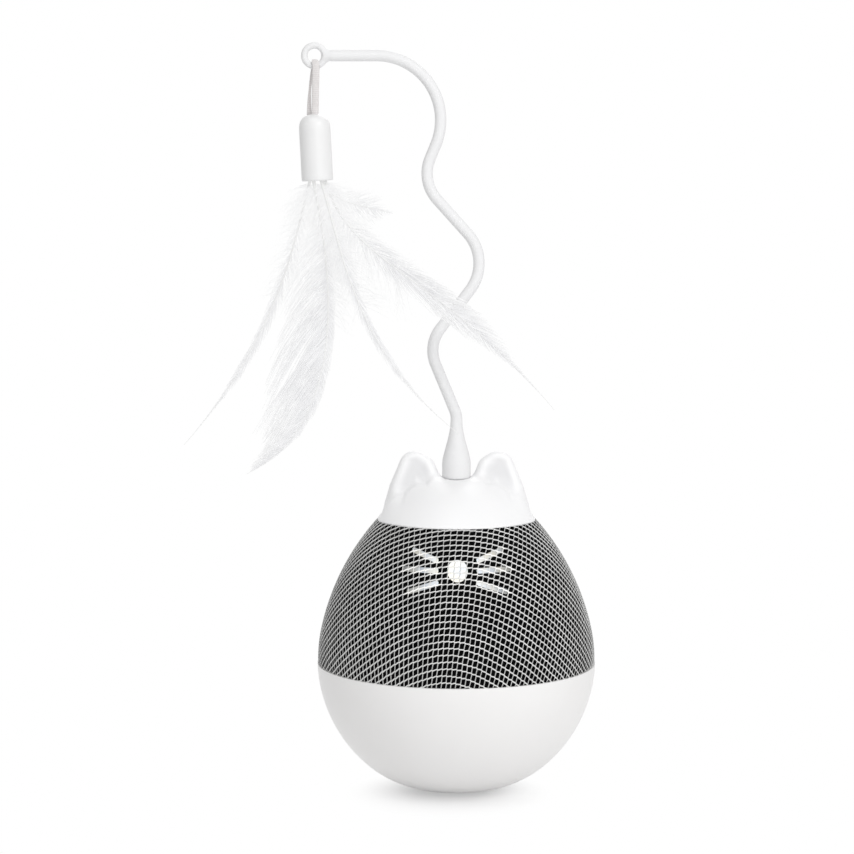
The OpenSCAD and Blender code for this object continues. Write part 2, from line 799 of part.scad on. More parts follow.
// One light behind the nose and one behind each whisker
nose_light_w = 4;
whisker_light_w = 2;
module face_lights() {
    color("lemonchiffon") along_y(-light_board_y - light_h, -light_board_y) {
        translate([0, nose_z]) square(nose_light_w, center = true);
        for (i = [0, 1, 2], s = [-1, 1]) {
            run = (whisker_out[i] - whisker_in) / 2;
            translate([s * (whisker_in + run), nose_z + whisker_rise[i] + run * tan(whisker_slope[i])])
                square(whisker_light_w, center = true);
        }
    }
}

module light_screws() {
    color("silver") for (z = light_post_z)
        translate([0, -light_board_y + board_t, z]) rotate([-90, 0, 0]) screw(board_t + thread_len - seat_gap);
}

// An ear as a rounded blade, drawn in by an inset, on the right
ear_z = centre_z + ear_rise;
ear_mid_depth = (ear_tip_depth + ear_foot_depth) / 2;
ear_knots = [[ear_x, ear_z - ear_tip_r, ear_tip_r, ear_tip_depth],
    [ear_x + ear_outer[0], ear_z - ear_outer[1], ear_flank_r, ear_mid_depth],
    [ear_x + ear_inner[0], ear_z - ear_inner[1], ear_flank_r, ear_mid_depth],
    [ear_x + ear_foot[0], ear_z - ear_foot[1], ear_flank_r, ear_foot_depth]];
module ear(inset) {
    hull() for (k = ear_knots) translate([k[0], 0, k[1]])
        scale([1, (k[3] / 2 - inset) / (k[2] - inset), 1]) sphere(k[2] - inset, $fn = hull_fn);
}

// White cap with two scooped ears, the wand's socket tube and the posts for its screws
module top_cap() {
    color("white") difference() {
        union() {
            body_shell(0, wall, cap_seam_z, crown_z);
            difference() {
                for (s = [0, 1]) mirror([s, 0, 0]) difference() {
                    ear(0);
                    translate([0, -ear_scoop, 0]) ear(ear_rim);
                }
                body_form(wall / 2, cap_seam_z - far / 2, crown_z);
            }
            intersection() {
                body_form(wall / 2, 0, crown_z);
                union() {
                    translate([0, 0, tube_end]) cylinder(r = tube_r, h = crown_z - tube_end);
                    ring_of(cap_post_ring_r, cap_post_angles)
                        translate([0, 0, cap_seam_z]) cylinder(r = cap_post_r, h = crown_z);
                }
            }
        }
        translate([0, 0, tube_end - over]) cylinder(r = bush_r + seat_gap, h = far);
        translate([0, 0, bush_top]) cylinder(r = collar_r + collar_clear, h = far);
        ring_of(cap_post_ring_r, cap_post_angles) translate([0, 0, cap_seam_z - over])
            cylinder(r = screw_r + thread_clear, h = thread_len + over);
    }
}

module cap_screws() {
    color("silver") ring_of(cap_post_ring_r, cap_post_angles)
        translate([0, 0, deck_z]) mirror([0, 0, 1]) screw(deck_t + thread_len - seat_gap);
}

// Bush in the cap's tube that takes the wand's pin
module socket_bush() {
    color("gainsboro") rotate_extrude() difference() {
        union() {
            translate([0, bush_floor - bush_flange_t]) square([bush_r, bush_top - bush_floor + bush_flange_t]);
            translate([0, bush_floor - bush_flange_t]) square([bush_flange_r, bush_flange_t]);
        }
        translate([0, bush_floor]) square([pin_r + pin_clear, far]);
    }
}

// Plug with its pin, collar, rounded taper and the dished tip that the rod's round foot sits in
pin_bevel = 0.8;
module wand_plug() {
    color("white") difference() {
        rotate_extrude() {
            difference() {
                translate([0, bush_top - pin_len]) square([pin_r, pin_len + collar_h / 2]);
                translate([pin_r, bush_top - pin_len]) rotate(45) square(pin_bevel * sqrt(2), center = true);
            }
            translate([0, bush_top]) square([collar_r, collar_h]);
            intersection() {
                translate([collar_r - taper_r, collar_top]) circle(taper_r);
                translate([0, collar_top]) square([collar_r, taper_h]);
            }
        }
        translate([0, 0, wand_z]) sphere(rod_r + joint_clear);
    }
}

// A straight length of rod from a state, lapping over the bends before and after it
module rod_run(s, len, lap_before, lap_after) {
    translate([s[0], 0, s[1]]) rotate([0, -s[2], 0])
        translate([0, 0, -lap_before]) cylinder(r = rod_r, h = lap_before + len + lap_after);
}

// A bend of rod from a state, turning left for a positive angle
module rod_bend(s, r, turn) {
    c = bend_centre(s, r, turn);
    start = turn > 0 ? s[2] : s[2] + turn + 180;
    translate([c[0], 0, c[1]]) rotate([90, 0, 0]) rotate([0, 0, start])
        rotate_extrude(angle = abs(turn)) translate([r, 0]) circle(rod_r - bend_step);
}

// Wavy rod with a round foot
module wand_rod() {
    color("white") {
        translate([0, 0, wand_z]) sphere(rod_r - bend_step);
        for (i = [0 : wand_bends]) {
            s = wand_state(i);
            rod_run(s, wand_runs[i], i > 0 ? bend_lap : 0, i < wand_bends ? bend_lap : 0);
            if (i < wand_bends) rod_bend(after_run(s, wand_runs[i]), wand_radii[i], wand_turns[i]);
        }
    }
}

// Ring at the rod's tip, with the short stem that joins them
module wand_ring() {
    color("white") {
        translate([ring_x, 0, ring_z]) rotate([90, 0, 0])
            rotate_extrude() translate([ring_mid_r, 0]) circle(ring_wire_r);
        translate([wand_end[0], 0, ring_z]) rotate([0, -90, 0])
            cylinder(r1 = rod_r, r2 = ring_wire_r, h = ring_stem);
    }
}

// Flat elastic band over the ring's wire, with two legs down to the ferrule's dome
module hanger_loop() {
    color("lightgray") difference() {
        translate([ring_x, 0, loop_z]) {
            rotate([0, 90, 0]) rotate([0, 0, 90]) rotate_extrude(angle = 180)
                translate([band_in, -band_w / 2]) square([band_t, band_w]);
            for (s = [0, 1]) mirror([0, s, 0]) rotate([0, leg_lean[s], 0])
                translate([-band_w / 2, -band_in - band_t, -loop_len - ferrule_r])
                    cube([band_w, band_t, loop_len + ferrule_r]);
        }
        translate([ring_x, 0, dome_z]) sphere(ferrule_r + leg_gap);
    }
}

// The ferrule and what it holds lean about the middle of the dome
dome_middle = [ring_x, 0, dome_z];
module leaned() {
    translate(dome_middle) rotate([0, -ferrule_lean, 0]) translate(-dome_middle) children();
}
function turned(d) = [d[0] * cos(ferrule_lean) - d[2] * sin(ferrule_lean), d[1],
    d[0] * sin(ferrule_lean) + d[2] * cos(ferrule_lean)];
function leaned_point(p) = dome_middle + turned(p - dome_middle);

// Ferrule with a round top, open below for the quills
module feather_ferrule() {
    color("white") leaned() translate([ring_x, 0, 0]) rotate_extrude() difference() {
        union() {
            intersection() {
                translate([0, dome_z]) circle(ferrule_r);
                translate([0, dome_z]) square(2 * ferrule_r);
            }
            translate([0, ferrule_end]) square([ferrule_r, ferrule_len]);
        }
        translate([0, ferrule_end - over]) square([bore_r, binder_top - ferrule_end + over]);
    }
}

// Place of a quill round the ferrule's axis
quill_count = 6;
function quill_place(i) =
    [ring_x + quill_ring_r * cos(360 * i / quill_count), quill_ring_r * sin(360 * i / quill_count)];

// Plug in the ferrule that holds the quills
module feather_binder() {
    color("ivory") leaned() difference() {
        translate([ring_x, 0, binder_z]) cylinder(r = bore_r - binder_clear, h = binder_h);
        for (i = [0 : quill_count - 1]) translate(concat(quill_place(i), [binder_z - over]))
            cylinder(r = quill_r + quill_hole_clear, h = quill_in + over + seat_gap);
    }
}

// A feather: its quill rises into the binder, and its vane follows a curve from the quill to the tip
vane_steps = 18;
vane_sides = 6;
vane_fullness = 0.8;
tip_start = 0.9;
tip_end = 1.02;
function unit(v) = v / norm(v);
function bezier(p, t) =
    pow(1 - t, 3) * p[0] + 3 * t * pow(1 - t, 2) * p[1] + 3 * t * t * (1 - t) * p[2] + pow(t, 3) * p[3];
function bezier_way(p, t) =
    unit(pow(1 - t, 2) * (p[1] - p[0]) + 2 * t * (1 - t) * (p[2] - p[1]) + t * t * (p[3] - p[2]));
// Half width along the vane: bare quill, swell, pointed tip
function vane_half(t, half, swell) =
    max(quill_r, half * pow(sin(180 * pow(t, swell)), vane_fullness))
    * (t > tip_start ? sqrt((tip_end - t) / (tip_end - tip_start)) : 1);
function vane_ring(c, side, face, half, thick) =
    [for (k = [0 : vane_sides - 1]) c + half * cos(360 * k / vane_sides) * side
        + thick * sin(360 * k / vane_sides) * face];
function feather_points(top, p, half, swell) = concat(
    vane_ring(top, turned([1, 0, 0]), [0, 1, 0], quill_r, quill_r),
    [for (i = [0 : vane_steps]) let (
        t = i / vane_steps,
        way = bezier_way(p, t),
        side = unit(cross([0, 1, 0], way)),
        face = cross(way, side)
    ) each vane_ring(bezier(p, t), -side, face, vane_half(t, half, swell), i == 0 ? quill_r : vane_t)]);
function feather_faces(n) = concat(
    [for (k = [1 : vane_sides - 2]) [0, k, k + 1]],
    [for (i = [0 : n - 2], k = [0 : vane_sides - 1]) let (
        a = i * vane_sides + k,
        b = i * vane_sides + (k + 1) % vane_sides
    ) each [[a, a + vane_sides, b], [b, a + vane_sides, b + vane_sides]]],
    [for (k = [1 : vane_sides - 2]) let (e = (n - 1) * vane_sides) [e, e + k + 1, e + k]]);
// The curve's points after the quill are offsets from the quill's lower end
module feather(i, reach, half, swell) {
    top = leaned_point(concat(quill_place(i), [binder_z + quill_in]));
    root = leaned_point(concat(quill_place(i), [ferrule_end]));
    p = [root, root + reach[0], root + reach[1], root + reach[2]];
    points = feather_points(top, p, half, swell);
    color("white") polyhedron(points, feather_faces(vane_steps + 2));
}

module main_plume() {
    feather(4, main_reach, main_half, plume_swell[0]);
}

module left_plume() {
    feather(3, left_reach, left_half, plume_swell[1]);
}

module right_plume() {
    feather(0, right_reach, right_half, plume_swell[2]);
}

module mid_plume() {
    feather(5, mid_reach, mid_half, plume_swell[3]);
}

module short_plume() {
    feather(2, short_reach, short_half, plume_swell[4]);
}

module down_tuft() {
    feather(1, down_reach, down_half, plume_swell[5]);
}

lower_shell();
base_weight();
weight_screws();
chassis_plate();
chassis_screws();
battery_cell();
battery_strap();
strap_screws();
control_board();
board_screws();
tilt_switch();
tact_switch();
power_button();
charge_socket();
charge_flap();
inner_shell();
net_sleeve();
nose_lens();
whisker_guides();
light_board();
face_lights();
light_screws();
top_cap();
cap_screws();
socket_bush();
wand_plug();
wand_rod();
wand_ring();
hanger_loop();
feather_ferrule();
feather_binder();
main_plume();
left_plume();
right_plume();
mid_plume();
short_plume();
down_tuft();
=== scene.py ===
# %% Frame
import json
import math

import bmesh
import bpy
import numpy as np
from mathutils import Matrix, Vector


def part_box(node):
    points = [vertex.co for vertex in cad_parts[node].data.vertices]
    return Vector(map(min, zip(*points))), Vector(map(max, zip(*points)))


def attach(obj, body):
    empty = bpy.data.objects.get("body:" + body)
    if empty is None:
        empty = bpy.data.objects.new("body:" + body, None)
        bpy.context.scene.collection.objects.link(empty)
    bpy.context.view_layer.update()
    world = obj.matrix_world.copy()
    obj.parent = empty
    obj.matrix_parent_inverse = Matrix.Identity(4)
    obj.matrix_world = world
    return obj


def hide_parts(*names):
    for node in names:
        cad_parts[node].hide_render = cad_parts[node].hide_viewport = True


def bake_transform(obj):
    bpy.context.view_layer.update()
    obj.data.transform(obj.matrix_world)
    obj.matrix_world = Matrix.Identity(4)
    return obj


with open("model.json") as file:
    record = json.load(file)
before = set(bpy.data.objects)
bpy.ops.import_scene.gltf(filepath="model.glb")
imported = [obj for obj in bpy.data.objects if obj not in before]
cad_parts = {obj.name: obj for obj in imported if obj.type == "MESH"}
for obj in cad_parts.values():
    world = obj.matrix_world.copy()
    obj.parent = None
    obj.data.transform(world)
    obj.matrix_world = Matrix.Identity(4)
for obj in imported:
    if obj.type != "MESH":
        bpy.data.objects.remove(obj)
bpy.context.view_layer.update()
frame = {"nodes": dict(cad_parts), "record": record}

nodes = frame["nodes"]
MM = 0.001

# %% [markdown]
# # A self-righting teaser for cats
# The toy is an egg that rocks on a weighted bowl. Its upper half is a black shell under a stretched
# net, with a lit nose and whiskers behind the net, and a cap with two ears carries a springy wavy
# wand. A tuft of feathers hangs from the wand on a loop of elastic. The CAD model gives every place
# and size in one frame, so this lesson only dresses it: the net, the soft pieces and the smooth
# mouldings are made new, and the hidden works keep their CAD solids with better finishes.
#
# ## Small helpers for node trees
# Shader trees and geometry trees are built the same way, so one small function adds a node, sets its
# inputs by name or number, and hands the node back. Inputs that are sockets become links.

# %% Node helpers
def add_node(tree, kind, inputs=None, **settings):
    node = tree.nodes.new(kind)
    for name, value in settings.items():
        setattr(node, name, value)
    for key, value in (inputs or {}).items():
        socket = node.inputs[key] if isinstance(key, int) else next(
            s for s in node.inputs if s.name == key and s.enabled)
        if isinstance(value, bpy.types.NodeSocket):
            tree.links.new(value, socket)
        else:
            socket.default_value = value
    return node


def math_node(tree, operation, *values):
    return add_node(tree, "ShaderNodeMath", dict(enumerate(values)), operation=operation).outputs[0]


def mix_colour(tree, factor, first, second, blend_type="MIX"):
    node = add_node(tree, "ShaderNodeMix", data_type="RGBA", blend_type=blend_type)
    for socket, value in ((node.inputs[0], factor), (node.inputs[6], first), (node.inputs[7], second)):
        if isinstance(value, bpy.types.NodeSocket):
            tree.links.new(value, socket)
        else:
            socket.default_value = value
    return node.outputs[2]


def new_group(name, kind, inputs, outputs):
    """A node group with named sockets; returns the tree and its input and output nodes."""
    tree = bpy.data.node_groups.new(name, kind)
    for label, socket, default in inputs:
        item = tree.interface.new_socket(label, in_out="INPUT", socket_type=socket)
        if default is not None:
            item.default_value = default
    for label, socket in outputs:
        tree.interface.new_socket(label, in_out="OUTPUT", socket_type=socket)
    return tree, tree.nodes.new("NodeGroupInput"), tree.nodes.new("NodeGroupOutput")


# %% [markdown]
# ## Surface effects shared by the finishes
# Moulded plastic is never one flat colour: it has a faint cloudiness, a fine grain from the mould
# and a gloss that wanders a little. One group makes these from noise on the piece's own Object
# coordinates and puts out a colour, a roughness and a height. A second group draws its noise out
# along Z, which gives the long fine scratches of worked metal. Pictures wrapped round the pieces
# could do the same, but noise has no seams and needs no unwrapping.

# %% Effect groups
DRAWN_OUT, SCRATCH_ROUGH = (1.0, 1.0, 0.08), 0.25


def noise(tree, vector, scale, detail=2.0, rough=0.5):
    return add_node(tree, "ShaderNodeTexNoise", {"Vector": vector, "Scale": scale, "Detail": detail,
                                                 "Roughness": rough}).outputs[0]


def make_moulded_effect():
    tree, given, result = new_group("moulded effect", "ShaderNodeTree", [
        ("Vector", "NodeSocketVector", None), ("Colour", "NodeSocketColor", None),
        ("Second colour", "NodeSocketColor", None), ("Cloud scale", "NodeSocketFloat", 40.0),
        ("Grain scale", "NodeSocketFloat", 3000.0), ("Roughness", "NodeSocketFloat", 0.4),
        ("Roughness spread", "NodeSocketFloat", 0.08)],
        [("Color", "NodeSocketColor"), ("Roughness", "NodeSocketFloat"), ("Height", "NodeSocketFloat")])
    vector = given.outputs["Vector"]
    cloud = noise(tree, vector, given.outputs["Cloud scale"], 3.0)
    grain = noise(tree, vector, given.outputs["Grain scale"], 1.0)
    colour = mix_colour(tree, cloud, given.outputs["Colour"], given.outputs["Second colour"])
    swing = math_node(tree, "SUBTRACT", math_node(tree, "ADD", cloud, grain), 1.0)
    rough = math_node(tree, "MULTIPLY_ADD", swing, given.outputs["Roughness spread"],
                      given.outputs["Roughness"])
    for name, socket in (("Color", colour), ("Roughness", rough), ("Height", grain)):
        tree.links.new(socket, result.inputs[name])
    return tree


def make_metal_effect():
    tree, given, result = new_group("worked metal effect", "ShaderNodeTree", [
        ("Vector", "NodeSocketVector", None), ("Colour", "NodeSocketColor", None),
        ("Second colour", "NodeSocketColor", None), ("Scratch scale", "NodeSocketFloat", 900.0),
        ("Roughness", "NodeSocketFloat", 0.35)],
        [("Color", "NodeSocketColor"), ("Roughness", "NodeSocketFloat"), ("Height", "NodeSocketFloat")])
    drawn = add_node(tree, "ShaderNodeVectorMath", {0: given.outputs["Vector"], 1: DRAWN_OUT},
                     operation="MULTIPLY").outputs[0]
    scratch = noise(tree, drawn, given.outputs["Scratch scale"], 2.0)
    colour = mix_colour(tree, scratch, given.outputs["Colour"], given.outputs["Second colour"])
    swing = math_node(tree, "SUBTRACT", scratch, 0.5)
    rough = math_node(tree, "MULTIPLY_ADD", swing, SCRATCH_ROUGH, given.outputs["Roughness"])
    for name, socket in (("Color", colour), ("Roughness", rough), ("Height", scratch)):
        tree.links.new(socket, result.inputs[name])
    return tree


MOULDED = make_moulded_effect()
METAL = make_metal_effect()
print("effect groups:", MOULDED.name, METAL.name)

# %% [markdown]
# ## Finishes
# Each finish is a material with its own Principled shader, fed by the effect groups. Values that are
# the same all over, such as sheen or coat, sit on the shader's own sockets, because only those
# survive the export. A finish that glows is not sampled as a lamp, since that would only add grain.

# %% Finish helpers
def finish_material(name, **constants):
    material = bpy.data.materials.new(name)
    material.use_nodes = True
    material.cycles.emission_sampling = "NONE"
    tree = material.node_tree
    shader = tree.nodes["Principled BSDF"]
    for socket, value in constants.items():
        shader.inputs[socket.replace("_", " ")].default_value = value
    vector = add_node(tree, "ShaderNodeTexCoord").outputs["Object"]
    return material, tree, shader, vector


def effect_finish(name, effect, values, bump=0.05, bump_distance=0.0001, **constants):
    """A finish whose colour, roughness and relief come from one of the effect groups."""
    material, tree, shader, vector = finish_material(name, **constants)
    group = add_node(tree, "ShaderNodeGroup", node_tree=effect)
    tree.links.new(vector, group.inputs["Vector"])
    for socket, value in values.items():
        group.inputs[socket].default_value = value
    relief = add_node(tree, "ShaderNodeBump", {"Height": group.outputs["Height"], "Strength": bump,
                                               "Distance": bump_distance})
    tree.links.new(group.outputs["Color"], shader.inputs["Base Color"])
    tree.links.new(group.outputs["Roughness"], shader.inputs["Roughness"])
    tree.links.new(relief.outputs["Normal"], shader.inputs["Normal"])
    return material


def moulded(name, colour, second, cloud=40.0, grain=3000.0, rough=0.4, spread=0.08, bump=0.05,
            **constants):
    return effect_finish(name, MOULDED, {
        "Colour": (*colour, 1), "Second colour": (*second, 1), "Cloud scale": cloud, "Grain scale": grain,
        "Roughness": rough, "Roughness spread": spread}, bump, **constants)


def metal(name, colour, second, scratch=900.0, rough=0.35, bump=0.1):
    return effect_finish(name, METAL, {"Colour": (*colour, 1), "Second colour": (*second, 1),
                                       "Scratch scale": scratch, "Roughness": rough}, bump, Metallic=1.0)


# %% [markdown]
# ## Finishes of the mouldings and the works
# Most of the toy is white plastic and white rubber, and the works inside are black and grey plastic,
# boards, a wrapped cell, a cast weight and plated screws. Each finish mixes two near colours by the
# cloud noise. The horn of the quills lets light through, which a little glow stands for. In the
# ears' hollows a point attribute makes the cap a shade greyer, as painted shade for the hollows.

# %% Finishes of the mouldings and the works
FINISH = {
    "white_plastic": moulded("white plastic", (0.845, 0.84, 0.835), (0.815, 0.805, 0.80),
                             rough=0.34, spread=0.06),
    "cap_plastic": moulded("cap plastic", (0.88, 0.88, 0.885), (0.86, 0.86, 0.865),
                           rough=0.4, spread=0.06),
    "ferrule_plastic": moulded("ferrule plastic", (0.80, 0.80, 0.80), (0.77, 0.77, 0.77),
                               rough=0.38, spread=0.06),
    "quill_horn": moulded("quill horn", (0.46, 0.46, 0.455), (0.40, 0.40, 0.395), cloud=200, rough=0.4,
                          spread=0.1, Emission_Color=(1, 1, 1, 1), Emission_Strength=0.38),
    "wand_rubber": moulded("wand rubber", (0.80, 0.80, 0.805), (0.77, 0.77, 0.775), cloud=90, rough=0.6,
                           spread=0.06, bump=0.02, Specular_IOR_Level=0.2),
    "grey_rubber": moulded("grey rubber", (0.66, 0.66, 0.66), (0.58, 0.58, 0.58), cloud=160,
                           rough=0.7, bump=0.15),
    "black_plastic": moulded("black plastic", (0.0015, 0.0015, 0.0018), (0.003, 0.003, 0.0033),
                             rough=0.7, bump=0.1, Specular_IOR_Level=0.02),
    "grey_plastic": moulded("grey plastic", (0.45, 0.45, 0.45), (0.40, 0.40, 0.40), rough=0.5, bump=0.1),
    "board_mask": moulded("board mask", (0.012, 0.16, 0.05), (0.02, 0.22, 0.08), cloud=260,
                          rough=0.35, bump=0.2),
    "cell_wrap": moulded("cell wrap", (0.05, 0.33, 0.2), (0.04, 0.28, 0.17), cloud=70,
                         rough=0.25, bump=0.1),
    "set_glue": moulded("set glue", (0.70, 0.68, 0.60), (0.62, 0.60, 0.52), cloud=500, grain=1500,
                        rough=0.3, bump=0.4),
    "cast_weight": moulded("cast weight", (0.10, 0.10, 0.105), (0.06, 0.06, 0.065), cloud=300, grain=1200,
                           rough=0.65, spread=0.2, bump=0.6, Metallic=1.0),
    "plated_steel": metal("plated steel", (0.62, 0.62, 0.64), (0.5, 0.5, 0.52)),
}
CAD_FINISH = {
    "white_plastic": "white_plastic", "white_rubber": "wand_rubber", "grey_rubber": "grey_rubber",
    "black_plastic": "black_plastic", "grey_plastic": "grey_plastic", "cast_weight": "cast_weight",
    "steel": "plated_steel", "cell_wrap": "cell_wrap", "board": "board_mask", "glue": "set_glue",
}


# painted shade: the grey that darkens the cap in the ears' hollows
HOLLOW_SHADE_TINT = (0.83, 0.83, 0.835, 1)


def paint_hollow_shade(material, attribute, tint):
    """Darkens a finish by a point attribute, as painted shade in hollows that get less light."""
    tree = material.node_tree
    base = tree.nodes["Principled BSDF"].inputs["Base Color"]
    share = add_node(tree, "ShaderNodeAttribute", attribute_name=attribute).outputs["Fac"]
    tree.links.new(mix_colour(tree, share, base.links[0].from_socket, tint, "MULTIPLY"), base)


paint_hollow_shade(FINISH["cap_plastic"], "painted_hollow_shade", HOLLOW_SHADE_TINT)


def give_finish(obj, material):
    obj.data.materials.clear()
    obj.data.materials.append(material)


for sub in frame["record"]["subparts"]:
    if sub["material_slot"] in CAD_FINISH:
        give_finish(nodes[sub["node"]], FINISH[CAD_FINISH[sub["material_slot"]]])
print("finishes:", len(FINISH))

# %% [markdown]
# ## Lit nose and whiskers
# Behind the net, light pipes carry the lights forward to a round nose and six whiskers. A pipe glows
# all through, so it is a plastic with its own light, and no lamp is needed behind it. The colour
# drifts from warm to cool, as cheap white lights do, and the whiskers fade towards their ends.

# %% Lit plastic
WHISKER_FADE = (0.0070, 0.0170, 0.12)      # from here outward to there, down to this share of the light
COOL_GLOW, WARM_GLOW = (0.80, 0.88, 1.0, 1), (1.0, 0.96, 0.84, 1)
COOL_UP_TO, WARM_FROM = 0.35, 0.65
PIPE_DARK, PIPE_PALE = (0.10, 0.10, 0.10, 1), (0.22, 0.22, 0.20, 1)
NOSE_LIGHT, WHISKER_LIGHT, DRIFT_SCALE = 0.95, 0.78, 260.0


def make_lit_plastic(name, strength, fade=None):
    material, tree, shader, vector = finish_material(name, Roughness=0.3, Emission_Strength=strength)
    drift = noise(tree, vector, DRIFT_SCALE, 1.0)
    glow = add_node(tree, "ShaderNodeValToRGB", {"Fac": drift})
    ramp = glow.color_ramp
    ramp.elements[0].position, ramp.elements[0].color = COOL_UP_TO, COOL_GLOW
    ramp.elements[1].position, ramp.elements[1].color = WARM_FROM, WARM_GLOW
    light = glow.outputs["Color"]
    if fade:
        place = add_node(tree, "ShaderNodeSeparateXYZ", {0: vector})
        side = math_node(tree, "ABSOLUTE", place.outputs["X"])
        share = add_node(tree, "ShaderNodeMapRange", {"Value": side, "From Min": fade[0], "From Max": fade[1],
                                                      "To Min": 0.0, "To Max": 1 - fade[2]})
        light = mix_colour(tree, share.outputs[0], light, (0, 0, 0, 1))
    tree.links.new(light, shader.inputs["Emission Color"])
    tree.links.new(mix_colour(tree, drift, PIPE_DARK, PIPE_PALE), shader.inputs["Base Color"])
    return material


FINISH["lit_nose"] = make_lit_plastic("lit nose", NOSE_LIGHT)
FINISH["lit_whisker"] = make_lit_plastic("lit whisker", WHISKER_LIGHT, WHISKER_FADE)
LIT = {"nose_lens": "lit_nose", "whisker_guides": "lit_whisker", "face_lights": "lit_nose"}
for node, finish in LIT.items():
    give_finish(nodes[node], FINISH[finish])
    print(node, "gets", finish)

# %% [markdown]
# ## Camera, floor and light
# The photograph looks almost level, from a little above, with a long lens. A large soft key lamp stands
# at the upper right, with weaker soft lamps low in front, above and behind, and a pale world fills
# the shadows, all at a level where a colour renders about as it is written. The floor and the
# backdrop are plain. Away from the toy the floor fades to the backdrop's white for the camera and for
# reflections alone, so the light on the toy stays at its plain level.

# %% Camera
CAMERA_PLACE, CAMERA_DIP = (-0.010, -0.846, 0.207), 5.63      # metres, and degrees below level
FOCAL_PIXELS, FRAME_PIXELS, SENSOR = 2505.0, 854.0, 36.0
camera_data = bpy.data.cameras.new("camera")
camera = bpy.data.objects.new("camera", camera_data)
bpy.context.collection.objects.link(camera)
camera.location = CAMERA_PLACE
camera.rotation_euler = (math.radians(90 - CAMERA_DIP), 0, 0)
camera_data.sensor_width = SENSOR
camera_data.lens = FOCAL_PIXELS / FRAME_PIXELS * SENSOR
bpy.context.scene.camera = camera
bpy.context.scene.view_settings.view_transform = "Standard"
print("camera lens, mm:", round(camera_data.lens, 2))

# %% Lamps and world
LAMPS = [      # name, place, aim, size, power
    ("key lamp", (0.57, -0.97, 0.79), (0, 0, 0.1), 0.9, 6.0),
    ("low lamp", (0.20, -0.9, 0.05), (0, 0, 0.06), 0.3, 1.3),
    ("top lamp", (-0.12, -0.45, 1.10), (0, 0, 0.12), 0.6, 2.2),
    ("back lamp", (0.10, 0.95, 0.85), (0, 0, 0.12), 0.9, 3.6),
]
WORLD_LIGHT, WORLD_SEEN = 0.51, 1.0
WHITE = (1, 1, 1, 1)


def add_lamp(name, place, aim, size, power):
    data = bpy.data.lights.new(name, "AREA")
    data.shape, data.size, data.energy = "DISK", size, power
    lamp = bpy.data.objects.new(name, data)
    bpy.context.collection.objects.link(lamp)
    lamp.location = place
    lamp.rotation_euler = (Vector(aim) - Vector(place)).to_track_quat("-Z", "Y").to_euler()
    print(name, "of", power, "W")


def seen_rays(tree):
    """1 for rays of the camera, of reflections and of glass, 0 for the light on the toy."""
    rays = add_node(tree, "ShaderNodeLightPath").outputs
    mirrored = math_node(tree, "MAXIMUM", rays["Is Glossy Ray"], rays["Is Transmission Ray"])
    return math_node(tree, "MAXIMUM", rays["Is Camera Ray"], mirrored)


for lamp in LAMPS:
    add_lamp(*lamp)
world = bpy.data.worlds.new("studio")
bpy.context.scene.world = world
world.use_nodes = True
sky = world.node_tree
sky.nodes.clear()
dim = add_node(sky, "ShaderNodeBackground", {"Color": WHITE, "Strength": WORLD_LIGHT})
white = add_node(sky, "ShaderNodeBackground", {"Color": WHITE, "Strength": WORLD_SEEN})
both = add_node(sky, "ShaderNodeMixShader", {0: seen_rays(sky), 1: dim.outputs[0], 2: white.outputs[0]})
add_node(sky, "ShaderNodeOutputWorld", {"Surface": both.outputs[0]})

# %% Floor
FLOOR_SIZE, FLOOR_COLOUR = 6, (0.93, 0.93, 0.93, 1)
SHADOW_MIDDLE, SHADOW_NEAR, SHADOW_FAR = (-0.002, -0.012, 0), 0.008, 0.036      # metres
SHADOW_LIFT = 0.4                                           # share of white even in the shadow's middle


def make_floor():
    bpy.ops.mesh.primitive_plane_add(size=FLOOR_SIZE)
    floor = bpy.context.object
    floor.name = "floor"
    material = bpy.data.materials.new("pale floor")
    material.use_nodes = True
    material.cycles.emission_sampling = "NONE"
    tree = material.node_tree
    tree.nodes.clear()
    place = add_node(tree, "ShaderNodeTexCoord").outputs["Object"]
    reach = add_node(tree, "ShaderNodeVectorMath", {0: place, 1: SHADOW_MIDDLE}, operation="DISTANCE")
    fade = add_node(tree, "ShaderNodeMapRange", {
        "Value": reach.outputs["Value"], "From Min": SHADOW_NEAR, "From Max": SHADOW_FAR,
        "To Min": SHADOW_LIFT}, interpolation_type="SMOOTHSTEP")
    matte = add_node(tree, "ShaderNodeBsdfDiffuse", {"Color": FLOOR_COLOUR})
    glow = add_node(tree, "ShaderNodeEmission", {"Color": WHITE, "Strength": WORLD_SEEN})
    share = math_node(tree, "MULTIPLY", fade.outputs[0], seen_rays(tree))
    mixed = add_node(tree, "ShaderNodeMixShader", {0: share, 1: matte.outputs[0], 2: glow.outputs[0]})
    add_node(tree, "ShaderNodeOutputMaterial", {"Surface": mixed.outputs[0]})
    floor.data.materials.append(material)
    return floor


make_floor()
print("floor, m:", FLOOR_SIZE)

# %% [markdown]
# ## Sweeping threads with Geometry Nodes
# The net, the wand, the elastic and the feathers are all long thin things that follow a path. Python
# lays out each path as a line of points with a girth and a facing direction, and one geometry tree
# sweeps a round or flat section along all of them. Curve objects with a bevel could do it too, but
# one tree keeps hundreds of threads in one mesh. It ends in Realize Instances and Set Material, and
# its result is turned into a plain mesh.

